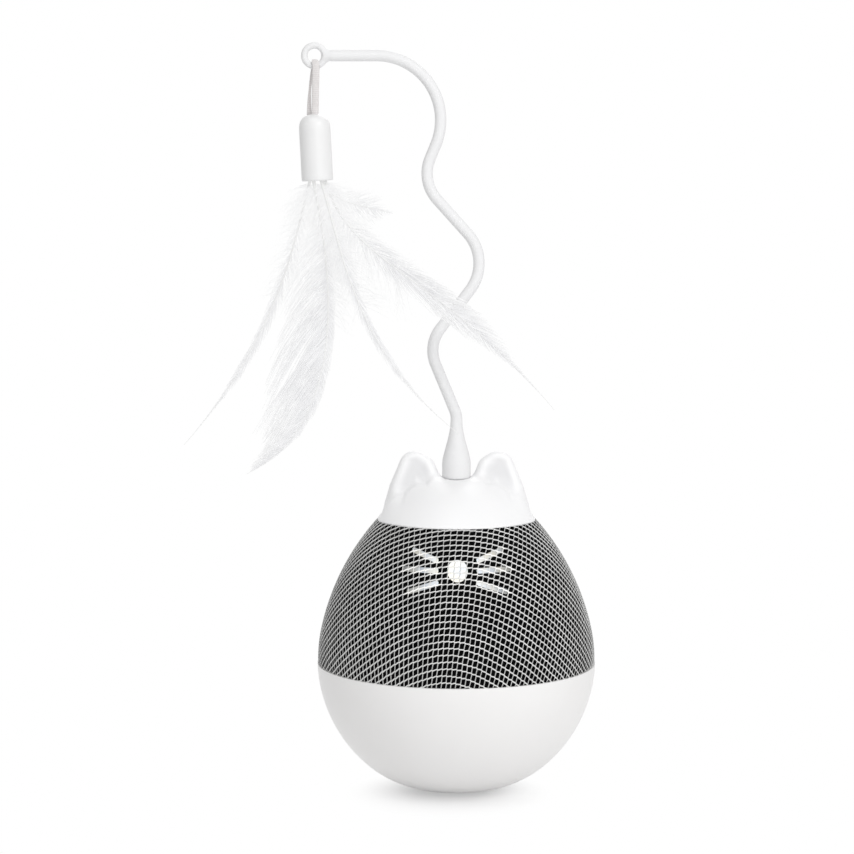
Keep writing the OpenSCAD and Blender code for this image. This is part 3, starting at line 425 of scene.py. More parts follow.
# %% Sweep tree
def make_sweep_tree():
    tree, given, result = new_group("sweep threads", "GeometryNodeTree", [
        ("Geometry", "NodeSocketGeometry", None), ("Girth", "NodeSocketFloat", 1.0),
        ("Sides", "NodeSocketInt", 6), ("Flatness", "NodeSocketFloat", 1.0),
        ("Material", "NodeSocketMaterial", None)], [("Geometry", "NodeSocketGeometry")])
    line = add_node(tree, "GeometryNodeMeshToCurve", {"Mesh": given.outputs["Geometry"]}).outputs[0]
    facing = add_node(tree, "GeometryNodeInputNamedAttribute", {"Name": "facing"}, data_type="FLOAT_VECTOR")
    curve = add_node(tree, "GeometryNodeSetCurveNormal", {"Curve": line}, mode="FREE")
    normal = next(s for s in curve.inputs if s.name == "Normal")
    tree.links.new(facing.outputs["Attribute"], normal)
    girth = add_node(tree, "GeometryNodeInputNamedAttribute", {"Name": "girth"}, data_type="FLOAT")
    scale = math_node(tree, "MULTIPLY", girth.outputs["Attribute"], given.outputs["Girth"])
    circle = add_node(tree, "GeometryNodeCurvePrimitiveCircle",
                      {"Resolution": given.outputs["Sides"], "Radius": 1.0})
    squeeze = add_node(tree, "ShaderNodeCombineXYZ", {0: given.outputs["Flatness"], 1: 1.0, 2: 1.0})
    section = add_node(tree, "GeometryNodeTransform", {"Geometry": circle.outputs["Curve"],
                                                       "Scale": squeeze.outputs[0]})
    swept = add_node(tree, "GeometryNodeCurveToMesh", {
        "Curve": curve.outputs[0], "Profile Curve": section.outputs[0], "Scale": scale, "Fill Caps": True})
    smooth = add_node(tree, "GeometryNodeSetShadeSmooth", {"Geometry": swept.outputs[0]})
    real = add_node(tree, "GeometryNodeRealizeInstances", {"Geometry": smooth.outputs[0]})
    painted = add_node(tree, "GeometryNodeSetMaterial", {"Geometry": real.outputs[0],
                                                         "Material": given.outputs["Material"]})
    tree.links.new(painted.outputs[0], result.inputs[0])
    return tree


SWEEP = make_sweep_tree()


def run_tree(obj, tree, values):
    """Runs a geometry tree on obj and leaves its result as obj's plain mesh."""
    modifier = obj.modifiers.new(tree.name, "NODES")
    modifier.node_group = tree
    sockets = {s.name: s.identifier for s in tree.interface.items_tree if s.in_out == "INPUT"}
    for name, value in values.items():
        modifier[sockets[name]] = value
    bpy.context.view_layer.update()
    result = bpy.data.meshes.new_from_object(obj.evaluated_get(bpy.context.evaluated_depsgraph_get()))
    obj.modifiers.remove(modifier)
    obj.data = result
    result.name = obj.name
    return obj


def link_mesh(name, points, faces=(), edges=(), smooth=True):
    """A new object from points in millimetres."""
    mesh = bpy.data.meshes.new(name)
    mesh.from_pydata((np.asarray(points, float) * MM).tolist(), [tuple(map(int, e)) for e in edges],
                     [tuple(map(int, f)) for f in faces])
    if smooth and len(faces):
        mesh.shade_smooth()
    obj = bpy.data.objects.new(name, mesh)
    bpy.context.collection.objects.link(obj)
    return obj


def sweep(name, lines, material, sides=6, flatness=1.0):
    """One object from many paths. A path is (points, girths, facings), in millimetres."""
    points = np.concatenate([p for p, g, f in lines])
    girth = np.concatenate([np.broadcast_to(g, len(p)) for p, g, f in lines])
    facing = np.concatenate([np.broadcast_to(f, (len(p), 3)) for p, g, f in lines])
    edges, start = [], 0
    for p, g, f in lines:
        first = np.arange(start, start + len(p) - 1)
        edges.append(np.stack([first, first + 1], 1))
        start += len(p)
    obj = link_mesh(name, points, edges=np.concatenate(edges))
    girths = obj.data.attributes.new("girth", "FLOAT", "POINT")
    girths.data.foreach_set("value", (girth * MM).astype(np.float32))
    facings = obj.data.attributes.new("facing", "FLOAT_VECTOR", "POINT")
    facings.data.foreach_set("vector", facing.astype(np.float32).ravel())
    run_tree(obj, SWEEP, {"Girth": 1.0, "Sides": sides, "Flatness": flatness, "Material": material})
    print(f"{name}: {len(lines)} paths, {len(obj.data.polygons)} faces")
    return obj


# %% [markdown]
# ## The egg's outline
# Net and cap both lie on the same egg: a round bowl that runs into a long flank and then a smaller
# crown. Three arcs give its radius at any height, the same arcs as in the CAD model. The curve could
# be read off the CAD mesh, but a formula is smooth and can be asked anywhere.

# %% Egg outline
BODY_R, CENTRE_Z = 47.5, 44.5
FLANK_R, FLANK_ANGLE = 82.0, math.radians(12)
FLANK_X = (BODY_R - FLANK_R) * math.cos(FLANK_ANGLE)
FLANK_Z = CENTRE_Z + (BODY_R - FLANK_R) * math.sin(FLANK_ANGLE)
CROWN_Z, CROWN_TOP = 75.304, 106.5
CROWN_R = CROWN_TOP - CROWN_Z
CROWN_SLOPE = (CROWN_Z - FLANK_Z) / -FLANK_X


def egg_radius(z, inset=0.0):
    """Radius of the bowl and flank at a height."""
    ball = np.sqrt(np.maximum((BODY_R - inset) ** 2 - (z - CENTRE_Z) ** 2, 0))
    flank = FLANK_X + np.sqrt((FLANK_R - inset) ** 2 - (z - FLANK_Z) ** 2)
    return np.where(z < CENTRE_Z + BODY_R * math.sin(FLANK_ANGLE), ball, flank)


def egg_distance(rho, z):
    """Distance from the flank and crown, negative inside."""
    crown = np.hypot(rho, z - CROWN_Z) - CROWN_R
    flank = np.hypot(rho - FLANK_X, z - FLANK_Z) - FLANK_R
    return np.where(z - CROWN_Z > CROWN_SLOPE * rho, crown, flank)


net_low, net_high = (corner[2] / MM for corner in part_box("net_sleeve"))
print("net from", round(net_low, 2), "to", round(net_high, 2))

# %% [markdown]
# ## The net
# The real net is a stretched knit with small square gaps. Pulled over the egg, its rows arch over the
# front and fall away to the sides, and its columns fan out upward. Each crossing is found by solving
# for the height where a row's arch meets a column. From knot to knot every stitch leans a little, as
# a knit's stitches do: it starts above one knot and ends below the next. The threads are cut at the
# bowl's lip, at the cap's rim and at the seam behind. A picture of a net would look flat from the
# side, so every thread is real.

# %% Net layout
TUCK_LOW, TUCK_HIGH = 0.4, 0.3        # how far the net runs under the lip and the rim
heights = np.linspace(net_low - TUCK_LOW, net_high + TUCK_HIGH, 1500)
radii = egg_radius(heights)
meridian = np.concatenate([[0], np.cumsum(np.hypot(np.diff(heights), np.diff(radii)))])
NET_SPAN = meridian[-1]
GAP_LOW, GAP_HIGH = 1.55, 2.15        # width of a gap at the lip and at the rim
ROW_LOW, ROW_HIGH = 2.3, 1.9          # height of a gap at the lip and at the rim
ARCH_DROP = 0.92                      # slope of a row far from the front
ARCH_LOW, ARCH_HIGH = 16.0, 36.0      # roundness of a row's arch at the lip and at the rim
APEX_SHIFT = -4.0                     # how far left the arches have their tops at the lip
SEARCH_LOW, SEARCH_HIGH, HALVINGS = -80.0, 260.0, 36
SEAM_HALF = 1.6


def gap_width(s):
    return GAP_LOW + (GAP_HIGH - GAP_LOW) * np.clip(s / NET_SPAN, -0.3, 1.2)


def row_front(i):
    """Height along the front where row i crosses it: the rows get closer towards the rim."""
    step = (ROW_LOW - ROW_HIGH) / NET_SPAN
    rows = (1 - np.exp(-step * i)) * ROW_LOW / step
    last = np.log(ROW_LOW / ROW_HIGH) / step
    return np.where(i < last, rows, NET_SPAN + (i - last) * ROW_HIGH)


def crossing(i, u):
    """Height along the egg where row i meets column u, by halving."""
    front = row_front(i)
    arch = ARCH_LOW + (ARCH_HIGH - ARCH_LOW) * np.clip(front / NET_SPAN, 0, 1)
    low, high = np.full(np.shape(i), SEARCH_LOW), np.full(np.shape(i), SEARCH_HIGH)
    for _ in range(HALVINGS):
        middle = (low + high) / 2
        side = gap_width(middle) * u
        over = middle + ARCH_DROP * (np.hypot(side, arch) - arch) > front
        high, low = np.where(over, middle, high), np.where(over, low, middle)
    return (low + high) / 2


print("net, lip to rim, mm:", round(NET_SPAN, 1))

# %% Net threads
ROW_R, COLUMN_R, WEAVE, NET_MIDDLE = 0.236, 0.168, 0.07, 0.36
STITCH_END = 0.15                     # a stitch ends this share of a gap short of its knots
ROW_LEAN, COLUMN_LEAN = 0.15, 0.13    # how far a whole stitch would lean, in gaps
UNEVEN = 0.04                         # how far a knot sits off its place, in gaps
NET_ROWS, NET_SIDE = 80, 110          # more rows, and columns to each side, than the egg has room for


def net_point(s, u, lift):
    z = np.interp(s, meridian, heights)
    r = np.interp(s, meridian, radii)
    angle = (gap_width(s) * u + APEX_SHIFT * (1 - s / NET_SPAN)) / r
    reach = r - NET_MIDDLE + lift
    return np.stack([reach * np.sin(angle), -reach * np.cos(angle), z], -1), angle, r


def net_paths(fixed, moving, along_row):
    """Runs of one thread that lie between the lip, the rim and the seam."""
    part = moving - np.floor(moving) - 0.5
    i, u = (fixed + ROW_LEAN * part, moving) if along_row else (moving, fixed + COLUMN_LEAN * part)
    knot_i, knot_u = np.round(i), np.round(u)
    # Sines of these products shift the knots without a visible pattern, the same way on each run.
    u = u + UNEVEN * np.sin(1.7 * knot_i * knot_u + 2.3 * knot_i)
    i = i + UNEVEN * np.sin(1.1 * knot_i * knot_u + 3.1 * knot_u)
    s = crossing(i, u)
    lift = WEAVE * part / (0.5 - STITCH_END) * (-1 if along_row else 1)
    points, angle, r = net_point(s, u, lift)
    room = np.minimum(np.minimum(s, NET_SPAN - s), (np.pi - np.abs(angle)) * r - SEAM_HALF)
    radial = points * (1, 1, 0)
    radial /= np.linalg.norm(radial, axis=1, keepdims=True)
    paths, inside = [], room > 0
    starts = np.flatnonzero(inside & ~np.concatenate([[False], inside[:-1]]))
    ends = np.flatnonzero(inside & ~np.concatenate([inside[1:], [False]]))
    for a, b in zip(starts, ends):
        run, facing = points[a:b + 1], radial[a:b + 1]
        for near, far, at_start in ((a, a - 1, True), (b, b + 1, False)):
            if 0 <= far < len(moving):
                share = room[near] / (room[near] - room[far])
                place = 0 if at_start else len(run)
                run = np.insert(run, place, points[near] + share * (points[far] - points[near]), axis=0)
                facing = np.insert(facing, place, radial[near], axis=0)
        if len(run) > 2:
            paths.append((run, ROW_R if along_row else COLUMN_R, facing))
    return paths


net_lines = []
stitch_ends = (STITCH_END, 1 - STITCH_END)
ends_in_row = np.add.outer(np.arange(-NET_SIDE, NET_SIDE), stitch_ends).ravel()
for row in range(-1, NET_ROWS):
    net_lines += net_paths(row, ends_in_row, True)
ends_in_column = np.add.outer(np.arange(-2, NET_ROWS), stitch_ends).ravel()
for column in range(-NET_SIDE, NET_SIDE + 1):
    net_lines += net_paths(column, ends_in_column, False)
print("net threads:", len(net_lines))

# %% [markdown]
# ## The face's glow on the net
# The yarn in front of the lit nose and whiskers is lit from behind, so the face shows as a soft shape
# and not only through the gaps. A small group measures how far a place is from the nose and from each
# whisker, seen from the front, and puts out a value that falls from 1 to 0 around them. Real light
# through the pipes would need many more samples for the same look.

# %% Glow of the face through the net
NOSE_LOW, NOSE_HIGH = (np.array(corner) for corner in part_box("nose_lens"))
NOSE_Z, NOSE_R = (NOSE_LOW[2] + NOSE_HIGH[2]) / 2, (NOSE_HIGH[2] - NOSE_LOW[2]) / 2
WHISKER_IN, WHISKER_OUT = 0.0063, (0.0148, 0.0178, 0.0166)
WHISKER_RISE, WHISKER_SLOPE = (0.0029, 0.0, -0.0035), (21, 1, -18)
GLOW_NEAR, GLOW_FAR, NOSE_DIM = 0.0004, 0.0017, 0.0010      # the nose counts as at least NOSE_DIM away


def length_node(tree, a, b):
    squares = math_node(tree, "ADD", math_node(tree, "MULTIPLY", a, a), math_node(tree, "MULTIPLY", b, b))
    return math_node(tree, "SQRT", squares)


def make_face_glow():
    """1 on the whiskers and about half on the nose, falling to 0 around them; only on the front."""
    tree, given, result = new_group("face glow", "ShaderNodeTree", [("Vector", "NodeSocketVector", None)],
                                    [("Glow", "NodeSocketFloat")])
    place = add_node(tree, "ShaderNodeSeparateXYZ", {0: given.outputs["Vector"]}).outputs
    side, height = math_node(tree, "ABSOLUTE", place["X"]), math_node(tree, "SUBTRACT", place["Z"], NOSE_Z)
    gap = math_node(tree, "SUBTRACT", length_node(tree, side, height), NOSE_R)
    gap = math_node(tree, "MAXIMUM", gap, NOSE_DIM)
    for out, rise, slope in zip(WHISKER_OUT, WHISKER_RISE, map(math.radians, WHISKER_SLOPE)):
        reach = (out - WHISKER_IN) / math.cos(slope)
        x, z = math_node(tree, "SUBTRACT", side, WHISKER_IN), math_node(tree, "SUBTRACT", height, rise)
        along = math_node(tree, "ADD", math_node(tree, "MULTIPLY", x, math.cos(slope)),
                          math_node(tree, "MULTIPLY", z, math.sin(slope)))
        along = math_node(tree, "MINIMUM", math_node(tree, "MAXIMUM", along, 0.0), reach)
        x = math_node(tree, "SUBTRACT", x, math_node(tree, "MULTIPLY", along, math.cos(slope)))
        z = math_node(tree, "SUBTRACT", z, math_node(tree, "MULTIPLY", along, math.sin(slope)))
        gap = math_node(tree, "MINIMUM", gap, length_node(tree, x, z))
    near = add_node(tree, "ShaderNodeMapRange", {
        "Value": gap, "From Min": GLOW_NEAR, "From Max": GLOW_FAR, "To Min": 1.0, "To Max": 0.0},
        interpolation_type="SMOOTHSTEP")
    front = math_node(tree, "LESS_THAN", place["Y"], 0.0)
    tree.links.new(math_node(tree, "MULTIPLY", near.outputs[0], front), result.inputs["Glow"])
    return tree


FACE_GLOW = make_face_glow()
print("glow group:", FACE_GLOW.name)

# %% [markdown]
# ## The net's yarn
# The yarn is pale, matt and a little fuzzy. Two noises give the fuzz and the slow change of tone, and
# the girth that the sweep leaves on every point paints the full rows paler, as painted glint, and the
# thin columns duller, as painted shade. The sweep then makes the whole net one mesh of flat
# four-sided threads, few enough faces to stay light.

# %% Net finish and sweep
GLINT_AND_SHADE_GIRTH = (0.00010, 0.00028)      # painted shade on the thin yarn, painted glint on the full yarn
YARN_DARK_AND_SHADE, YARN_PALE_AND_GLINT = (0.31, 0.31, 0.305, 1), (0.91, 0.91, 0.90, 1)
YARN_LIT, YARN_LIGHT = (1.0, 0.98, 0.94, 1), 0.34
FUZZ_SCALE, TONE_SCALE = 5000.0, 120.0


def make_net_yarn():
    material, tree, shader, vector = finish_material("net yarn", Specular_IOR_Level=0.2,
                                                     Emission_Strength=YARN_LIGHT)
    glow = add_node(tree, "ShaderNodeGroup", node_tree=FACE_GLOW)
    tree.links.new(vector, glow.inputs["Vector"])
    lit = mix_colour(tree, glow.outputs["Glow"], (0, 0, 0, 1), YARN_LIT)
    tree.links.new(lit, shader.inputs["Emission Color"])
    fuzz = noise(tree, vector, FUZZ_SCALE, 2.0)
    tone = noise(tree, vector, TONE_SCALE, 2.0)
    girth = add_node(tree, "ShaderNodeAttribute", attribute_name="girth").outputs["Fac"]
    # painted glint and shade: the full rows are paler, the thin columns and stitches duller
    full = add_node(tree, "ShaderNodeMapRange", {
        "Value": girth, "From Min": GLINT_AND_SHADE_GIRTH[0], "From Max": GLINT_AND_SHADE_GIRTH[1], "To Min": -0.5, "To Max": 0.5})
    shade = math_node(tree, "MULTIPLY_ADD", math_node(tree, "ADD", fuzz, tone), 0.5, full.outputs[0])
    colour = mix_colour(tree, shade, YARN_DARK_AND_SHADE, YARN_PALE_AND_GLINT)
    rough = math_node(tree, "MULTIPLY_ADD", fuzz, 0.2, 0.6)
    relief = add_node(tree, "ShaderNodeBump", {"Height": fuzz, "Strength": 0.4, "Distance": 0.0001})
    tree.links.new(colour, shader.inputs["Base Color"])
    tree.links.new(rough, shader.inputs["Roughness"])
    tree.links.new(relief.outputs["Normal"], shader.inputs["Normal"])
    return material


FINISH["net_yarn"] = make_net_yarn()
net = sweep("net", net_lines, FINISH["net_yarn"], sides=4, flatness=0.38)
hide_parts("net_sleeve")
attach(net, "body")

# %% [markdown]
# ## The seam behind
# A tube of knit cut from a flat piece has to be closed, and the seam is put where it isn't seen. A
# flat tape runs down the back, with a row of stitches along each edge. Tape and stitches are swept
# like the threads, so they follow the egg by themselves.

# %% Seam behind
SEAM_T, STITCH_X, STITCH_STEP, STITCH_R = 0.3, 1.15, 1.5, 0.13
TAPE_HALF = SEAM_HALF + 0.5                           # the tape covers the cut ends of the threads
STITCH_ARCH = np.array([-0.12, 0.03, 0.03, -0.12])    # rise of a stitch, from end to end
STITCH_LONG, STITCH_SINK = 0.8, 0.05                  # share of its step, and depth in the tape
FIRST_STITCH, LAST_STITCH = 0.8, 1.2                  # how far from the lip and from the rim


def back_point(s, x, lift):
    z, r = np.interp(s, meridian, heights), np.interp(s, meridian, radii)
    return np.stack([np.broadcast_to(x, np.shape(s)), r - NET_MIDDLE + lift, z], -1)


seam_s = np.linspace(0, NET_SPAN, 60)
tape = back_point(seam_s, 0.0, 0.0)
slope = np.gradient(tape, axis=0)
outward = np.stack([0 * seam_s, slope[:, 2], -slope[:, 1]], -1)
outward /= np.linalg.norm(outward, axis=1, keepdims=True)
seam = sweep("net_seam", [(tape, TAPE_HALF, outward)], FINISH["net_yarn"], sides=16,
             flatness=SEAM_T / SEAM_HALF)
stitches = []
for at in np.arange(FIRST_STITCH, NET_SPAN - LAST_STITCH, STITCH_STEP):
    for x in (-STITCH_X, STITCH_X):
        run = np.linspace(at, at + STITCH_LONG * STITCH_STEP, len(STITCH_ARCH))
        rise = (SEAM_T - STITCH_SINK) + STITCH_ARCH
        stitches.append((back_point(run, x, rise), STITCH_R, (0.0, 1.0, 0.0)))
thread = sweep("seam_stitches", stitches, FINISH["net_yarn"], sides=5)
for piece in (seam, thread):
    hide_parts("net_sleeve")
    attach(piece, "body")

# %% [markdown]
# ## The net as a stretched sheet
# The net is cloth. Its flat cut is a strip as long as the egg's girth and as high as the way from lip
# to rim, both made smaller by the stretch. The stretch can't be measured here. A sixth each way is
# what makes a knit like this sit without creases.

# %% [markdown]
# ## Soft moulded shapes
# The cap with its ears and the wand's eye are soft shapes that melt into each other. They are drawn
# as distance fields, joined with rounded unions and cuts, and meshed by placing one point in every
# grid cell the surface crosses. The points are then pushed onto the surface, so a coarse grid still
# gives a smooth skin.

# %% Rounded unions and cuts
def blend_union(a, b, soft):
    """A rounded union of two distances."""
    h = np.maximum(soft - np.abs(a - b), 0) / soft
    return np.minimum(a, b) - h * h * soft / 4


def melt_union(a, b, soft):
    """A rounded union without a visible start, for shapes that melt into each other."""
    h = np.maximum(soft - np.abs(a - b), 0) / soft
    return np.minimum(a, b) - h ** 3 * soft / 6


def blend_cut(a, b, soft):
    """What is left of a when b is taken away, with a rounded edge."""
    return -blend_union(-a, b, soft)


# %% Distance field mesher
PUSHES, NUDGE = 3, 0.02      # how often the points are pushed, and the step that finds the slope


def field_mesh(name, field, low, high, step):
    """Mesh of field(x, y, z) = 0 inside a box, in millimetres."""
    low = np.asarray(low, float)
    count = np.ceil((np.asarray(high) - low) / step).astype(int) + 1
    axes = [low[k] + step * np.arange(count[k]) for k in range(3)]
    value = field(*np.meshgrid(*axes, indexing="ij"))
    solid = value < 0
    corners = [(a, b, c) for a in (0, 1) for b in (0, 1) for c in (0, 1)]
    filled = np.zeros(count - 1, int)
    for o in corners:
        filled += solid[tuple(slice(o[k], count[k] - 1 + o[k]) for k in range(3))]
    cells = np.argwhere((filled > 0) & (filled < 8))
    number = np.full(count - 1, -1)
    number[tuple(cells.T)] = np.arange(len(cells))
    total, hits = np.zeros((len(cells), 3)), np.zeros(len(cells))
    faces = []
    for axis in range(3):
        one, two = [k for k in range(3) if k != axis]
        forward = np.eye(3, dtype=int)[axis]
        for o in corners:
            if o[axis]:
                continue
            here = value[tuple((cells + o).T)]
            there = value[tuple((cells + o + forward).T)]
            cross = (here < 0) != (there < 0)
            share = np.where(cross, here / np.where(cross, here - there, 1), 0)
            total += np.where(cross[:, None], np.asarray(o) + share[:, None] * forward, 0)
            hits += cross
        first = solid[tuple(slice(0, -1) if k == axis else slice(1, -1) for k in range(3))]
        second = solid[tuple(slice(1, None) if k == axis else slice(1, -1) for k in range(3))]
        edge = np.argwhere(first != second)
        turned = first[tuple(edge.T)]
        edge[:, [one, two]] += 1
        around = []
        for p, q in ((1, 1), (0, 1), (0, 0), (1, 0)):
            cell = edge.copy()
            cell[:, one] -= p
            cell[:, two] -= q
            around.append(number[tuple(cell.T)])
        around = np.stack(around, 1)
        if axis == 1:
            turned = ~turned
        faces.append(np.where(turned[:, None], around, around[:, ::-1]))
    points = low + step * (cells + total / hits[:, None])
    for _ in range(PUSHES):
        slope = np.stack([(field(*(points + NUDGE * e).T) - field(*(points - NUDGE * e).T)) / (2 * NUDGE)
                          for e in np.eye(3)], 1)
        move = field(*points.T)[:, None] * slope / np.maximum((slope ** 2).sum(1, keepdims=True), 0.1)
        points -= np.clip(move, -step / 2, step / 2)
    obj = link_mesh(name, points, np.concatenate(faces))
    print(f"{name}: {len(points)} points")
    return obj


# %% [markdown]
# ## The cap with its ears
# The cap is one moulding: a dome that carries on the egg's line, and two ears that grow out of it with
# a soft root. Each ear is a flattened rounded blade, scooped on its front so that a rim stays along
# its edge and the hollow runs out into the dome. A hole in the crown takes the wand's plug. Sculpting
# or a remeshed boolean could make it, but a distance field keeps every size a number. How deep each
# point lies in the uncut ear is kept as an attribute, for the painted shade that greys the hollows.

# %% Cap
CAP_WALL, CAP_HOLE_R, CAP_STEP = 2.2, 5.0, 0.5
CAP_EDGE, INSIDE_EDGE, HOLE_EDGE = 0.7, 0.4, 0.5          # how rounded the cap's edges are
EAR_R, EAR_RIM, EAR_SOFT = 5.3, 2.3, 2.2
EAR_DEPTH, EAR_FLARE, HOLLOW_DEPTH = 3.7, 0.245, 1.7      # half thickness at the tip, its growth, the hollow
EAR_TIP_Z, EAR_THIN, EAR_THICK = 110.5, 3.3, 7.6          # where the growth starts, and its limits
ROOT_FRONT, ROOT_BACK = 10.5, 3.9                         # how softly an ear grows out of the dome
ROOT_SPAN = (-7, -1)                                      # the softness changes between these depths
EAR_CORNERS = [(14.2, 110.2), (17.7, 102.0), (19.1, 97.0), (10.2, 103.9), (12.2, 109.0)]
SCOOP_CORNERS = [(14.2, 110.2), (17.7, 102.0), (19.1, 97.0), (20.4, 92.0), (2.6, 92.0), (13.1, 109.3)]


def ear_outline(corners, x, z):
    """Distance from a rounded outline seen from the front."""
    nearest, inside = np.full(np.shape(x), 1e9), np.full(np.shape(x), True)
    for (ax, az), (bx, bz) in zip(corners, corners[1:] + corners[:1]):
        dx, dz = bx - ax, bz - az
        t = np.clip(((x - ax) * dx + (z - az) * dz) / (dx * dx + dz * dz), 0, 1)
        nearest = np.minimum(nearest, np.hypot(x - ax - t * dx, z - az - t * dz))
        inside &= (x - ax) * dz - (z - az) * dx < 0
    return np.where(inside, -nearest, nearest) - EAR_R


def blade(outline, y, edge, depth):
    """A blade with an elliptic edge around an outline."""
    return (np.hypot(np.maximum(outline + edge, 0) / edge, y / depth) - 1) * np.minimum(edge, depth)


def whole_ear(x, y, z):
    """Distance from the two ears before they are hollowed, and their half thickness."""
    depth = np.clip(EAR_DEPTH + (EAR_TIP_Z - z) * EAR_FLARE, EAR_THIN, EAR_THICK)
    return blade(ear_outline(EAR_CORNERS, np.abs(x), z), y, EAR_R, depth), depth


def cap_field(x, y, z):
    rho = np.hypot(x, y)
    egg = egg_distance(rho, z)
    ear, depth = whole_ear(x, y, z)
    within = ear_outline(SCOOP_CORNERS, np.abs(x), z) + EAR_RIM
    hollow = -blend_union(-within, -(y + depth - HOLLOW_DEPTH), EAR_SOFT)
    ear = blend_cut(ear, hollow, EAR_SOFT)
    shape = melt_union(egg, ear, np.interp(y, ROOT_SPAN, (ROOT_FRONT, ROOT_BACK)))
    shape = blend_cut(shape, egg + CAP_WALL, INSIDE_EDGE)
    shape = blend_cut(shape, z - net_high, CAP_EDGE)
    return blend_cut(shape, rho - CAP_HOLE_R, HOLE_EDGE)


cap_low, cap_high = (np.array(corner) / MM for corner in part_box("top_cap"))
cap = field_mesh("cap", cap_field, (cap_low[0] - 1, cap_low[1] - 1, net_high - 1), cap_high + 1, CAP_STEP)
cap.data.materials.append(FINISH["cap_plastic"])
cap_points = np.array([v.co for v in cap.data.vertices]) / MM
# painted shade: the deeper a point lies in the uncut ear, the greyer the hollow there
hollow_shade = np.clip(-whole_ear(*cap_points.T)[0] / HOLLOW_DEPTH, 0, 1)
hollow_shade = hollow_shade * hollow_shade * (3 - 2 * hollow_shade)
cap.data.attributes.new("painted_hollow_shade", "FLOAT", "POINT").data.foreach_set("value", hollow_shade)
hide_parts("top_cap")
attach(cap, "body")

# %% [markdown]
# ## The wand
# The wand is one piece of soft white rubber: a plug, a collar that tapers, and a rod that wanders in
# five bends up to an eye. The path walks forward and turns, run by run and bend by bend, as a person
# with a compass would, so each bend keeps one radius. One sweep makes plug and rod together, so
# nothing shows where the plug's part ends and the bending part begins.

# %% Wand
ROD_R, WAND_START = 1.9, 122.85
RUNS = [3.4, 17, 16.4, 15.4, 5, 15.2]                                       # straight lengths
BENDS = [(8, 22.5), (12, -60), (15, 79.5), (13, -64.5), (21.4, 112.5)]      # radius, degrees to the left
PATH_STEP = 0.6
ROD_FROM = 132.0                                                            # all rod, no taper, from here on


def walk(runs, bends, start):
    """Points of a path in the front plane that starts upward and turns left for positive angles."""
    at, heading, points = np.array([0.0, start]), math.pi / 2, []
    for number, run in enumerate(runs):
        for part in np.linspace(0, 1, max(2, int(run / PATH_STEP)), endpoint=False):
            points.append(at + part * run * np.array([math.cos(heading), math.sin(heading)]))
        at = at + run * np.array([math.cos(heading), math.sin(heading)])
        if number < len(bends):
            radius, turn = bends[number]
            turn = math.radians(turn)
            sign = math.copysign(1, turn)
            centre = at + sign * radius * np.array([-math.sin(heading), math.cos(heading)])
            for part in np.linspace(0, turn, max(3, int(radius * abs(turn) / PATH_STEP)), endpoint=False):
                angle = heading + part - sign * math.pi / 2
                points.append(centre + radius * np.array([math.cos(angle), math.sin(angle)]))
            heading += turn
            angle = heading - sign * math.pi / 2
            at = centre + radius * np.array([math.cos(angle), math.sin(angle)])
    points.append(at)
    return np.array(points)


rod = walk(RUNS, BENDS, WAND_START)
wand_end = rod[-1]
print("wand's end, mm:", wand_end.round(2))
PLUG = [      # height, radius: the plug, the collar, the taper
    (90.05, 3.0), (90.35, 3.45), (90.8, 3.6), (106.0, 3.6), (106.15, 4.6), (106.5, 4.85), (111.2, 4.85),
    (112.6, 4.72), (114.5, 4.3), (117.0, 3.6), (119.5, 2.92), (121.5, 2.46), (123.5, 2.13), (126.0, 1.97),
]
plug_z, plug_r = np.array(PLUG).T
stem = np.unique(np.concatenate([np.linspace(plug_z[0], WAND_START, 80), plug_z[plug_z < WAND_START]]))
wand_xz = np.concatenate([np.stack([0 * stem, stem], 1)[:-1], rod])
wand_points = np.stack([wand_xz[:, 0], 0 * wand_xz[:, 0], wand_xz[:, 1]], 1)
walked = plug_z[0] + np.concatenate([[0], np.cumsum(np.linalg.norm(np.diff(wand_xz, axis=0), axis=1))])
wand_girth = np.interp(walked, np.append(plug_z, ROD_FROM), np.append(plug_r, ROD_R))
wand = sweep("wand", [(wand_points, wand_girth, (0.0, 1.0, 0.0))], FINISH["wand_rubber"], sides=40)
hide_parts("wand_plug")
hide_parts("wand_rod")
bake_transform(wand)

# %% [markdown]
# ## The wand's eye
# The rod ends in a moulded eye that the elastic hangs from. A torus and a short tapering foot melt
# into each other, which a distance field gives in a few lines. The foot reaches back over the rod's
# end, so no joint shows.

# %% Wand's eye
RING_R, RING_WIRE, RING_STEP = 3.4, 1.1, 0.22
FOOT_GAP, FOOT_OVER, FOOT_TAPER, FOOT_THIN = 2.2, 1.2, 4.6, 0.9      # eye to rod, over the rod, taper
FOOT_INTO_WIRE, FOOT_SOFT = 0.2, 1.6
EYE_REACH, EYE_DEPTH = 6, 3                                          # room for the mesh round the eye
ring_x, ring_z = wand_end[0] - RING_R - FOOT_GAP, wand_end[1]


def ring_field(x, y, z):
    across = np.hypot(x - ring_x, z - ring_z) - RING_R
    eye = np.hypot(across, y) - RING_WIRE
    past = np.maximum(x - wand_end[0] - FOOT_OVER, 0)
    reach = np.clip((wand_end[0] + FOOT_OVER - x) / FOOT_TAPER, 0, 1)
    foot = np.hypot(np.hypot(y, z - ring_z), past) - (ROD_R - FOOT_THIN * reach ** 2)
    foot = np.maximum(foot, ring_x + RING_R - FOOT_INTO_WIRE - x)
    return blend_union(eye, foot, FOOT_SOFT)


eye = field_mesh("wand_eye", ring_field, (ring_x - EYE_REACH, -EYE_DEPTH, ring_z - EYE_REACH),
                 (wand_end[0] + FOOT_GAP, EYE_DEPTH, ring_z + EYE_REACH), RING_STEP)
eye.data.materials.append(FINISH["wand_rubber"])
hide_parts("wand_ring")
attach(eye, "wand")

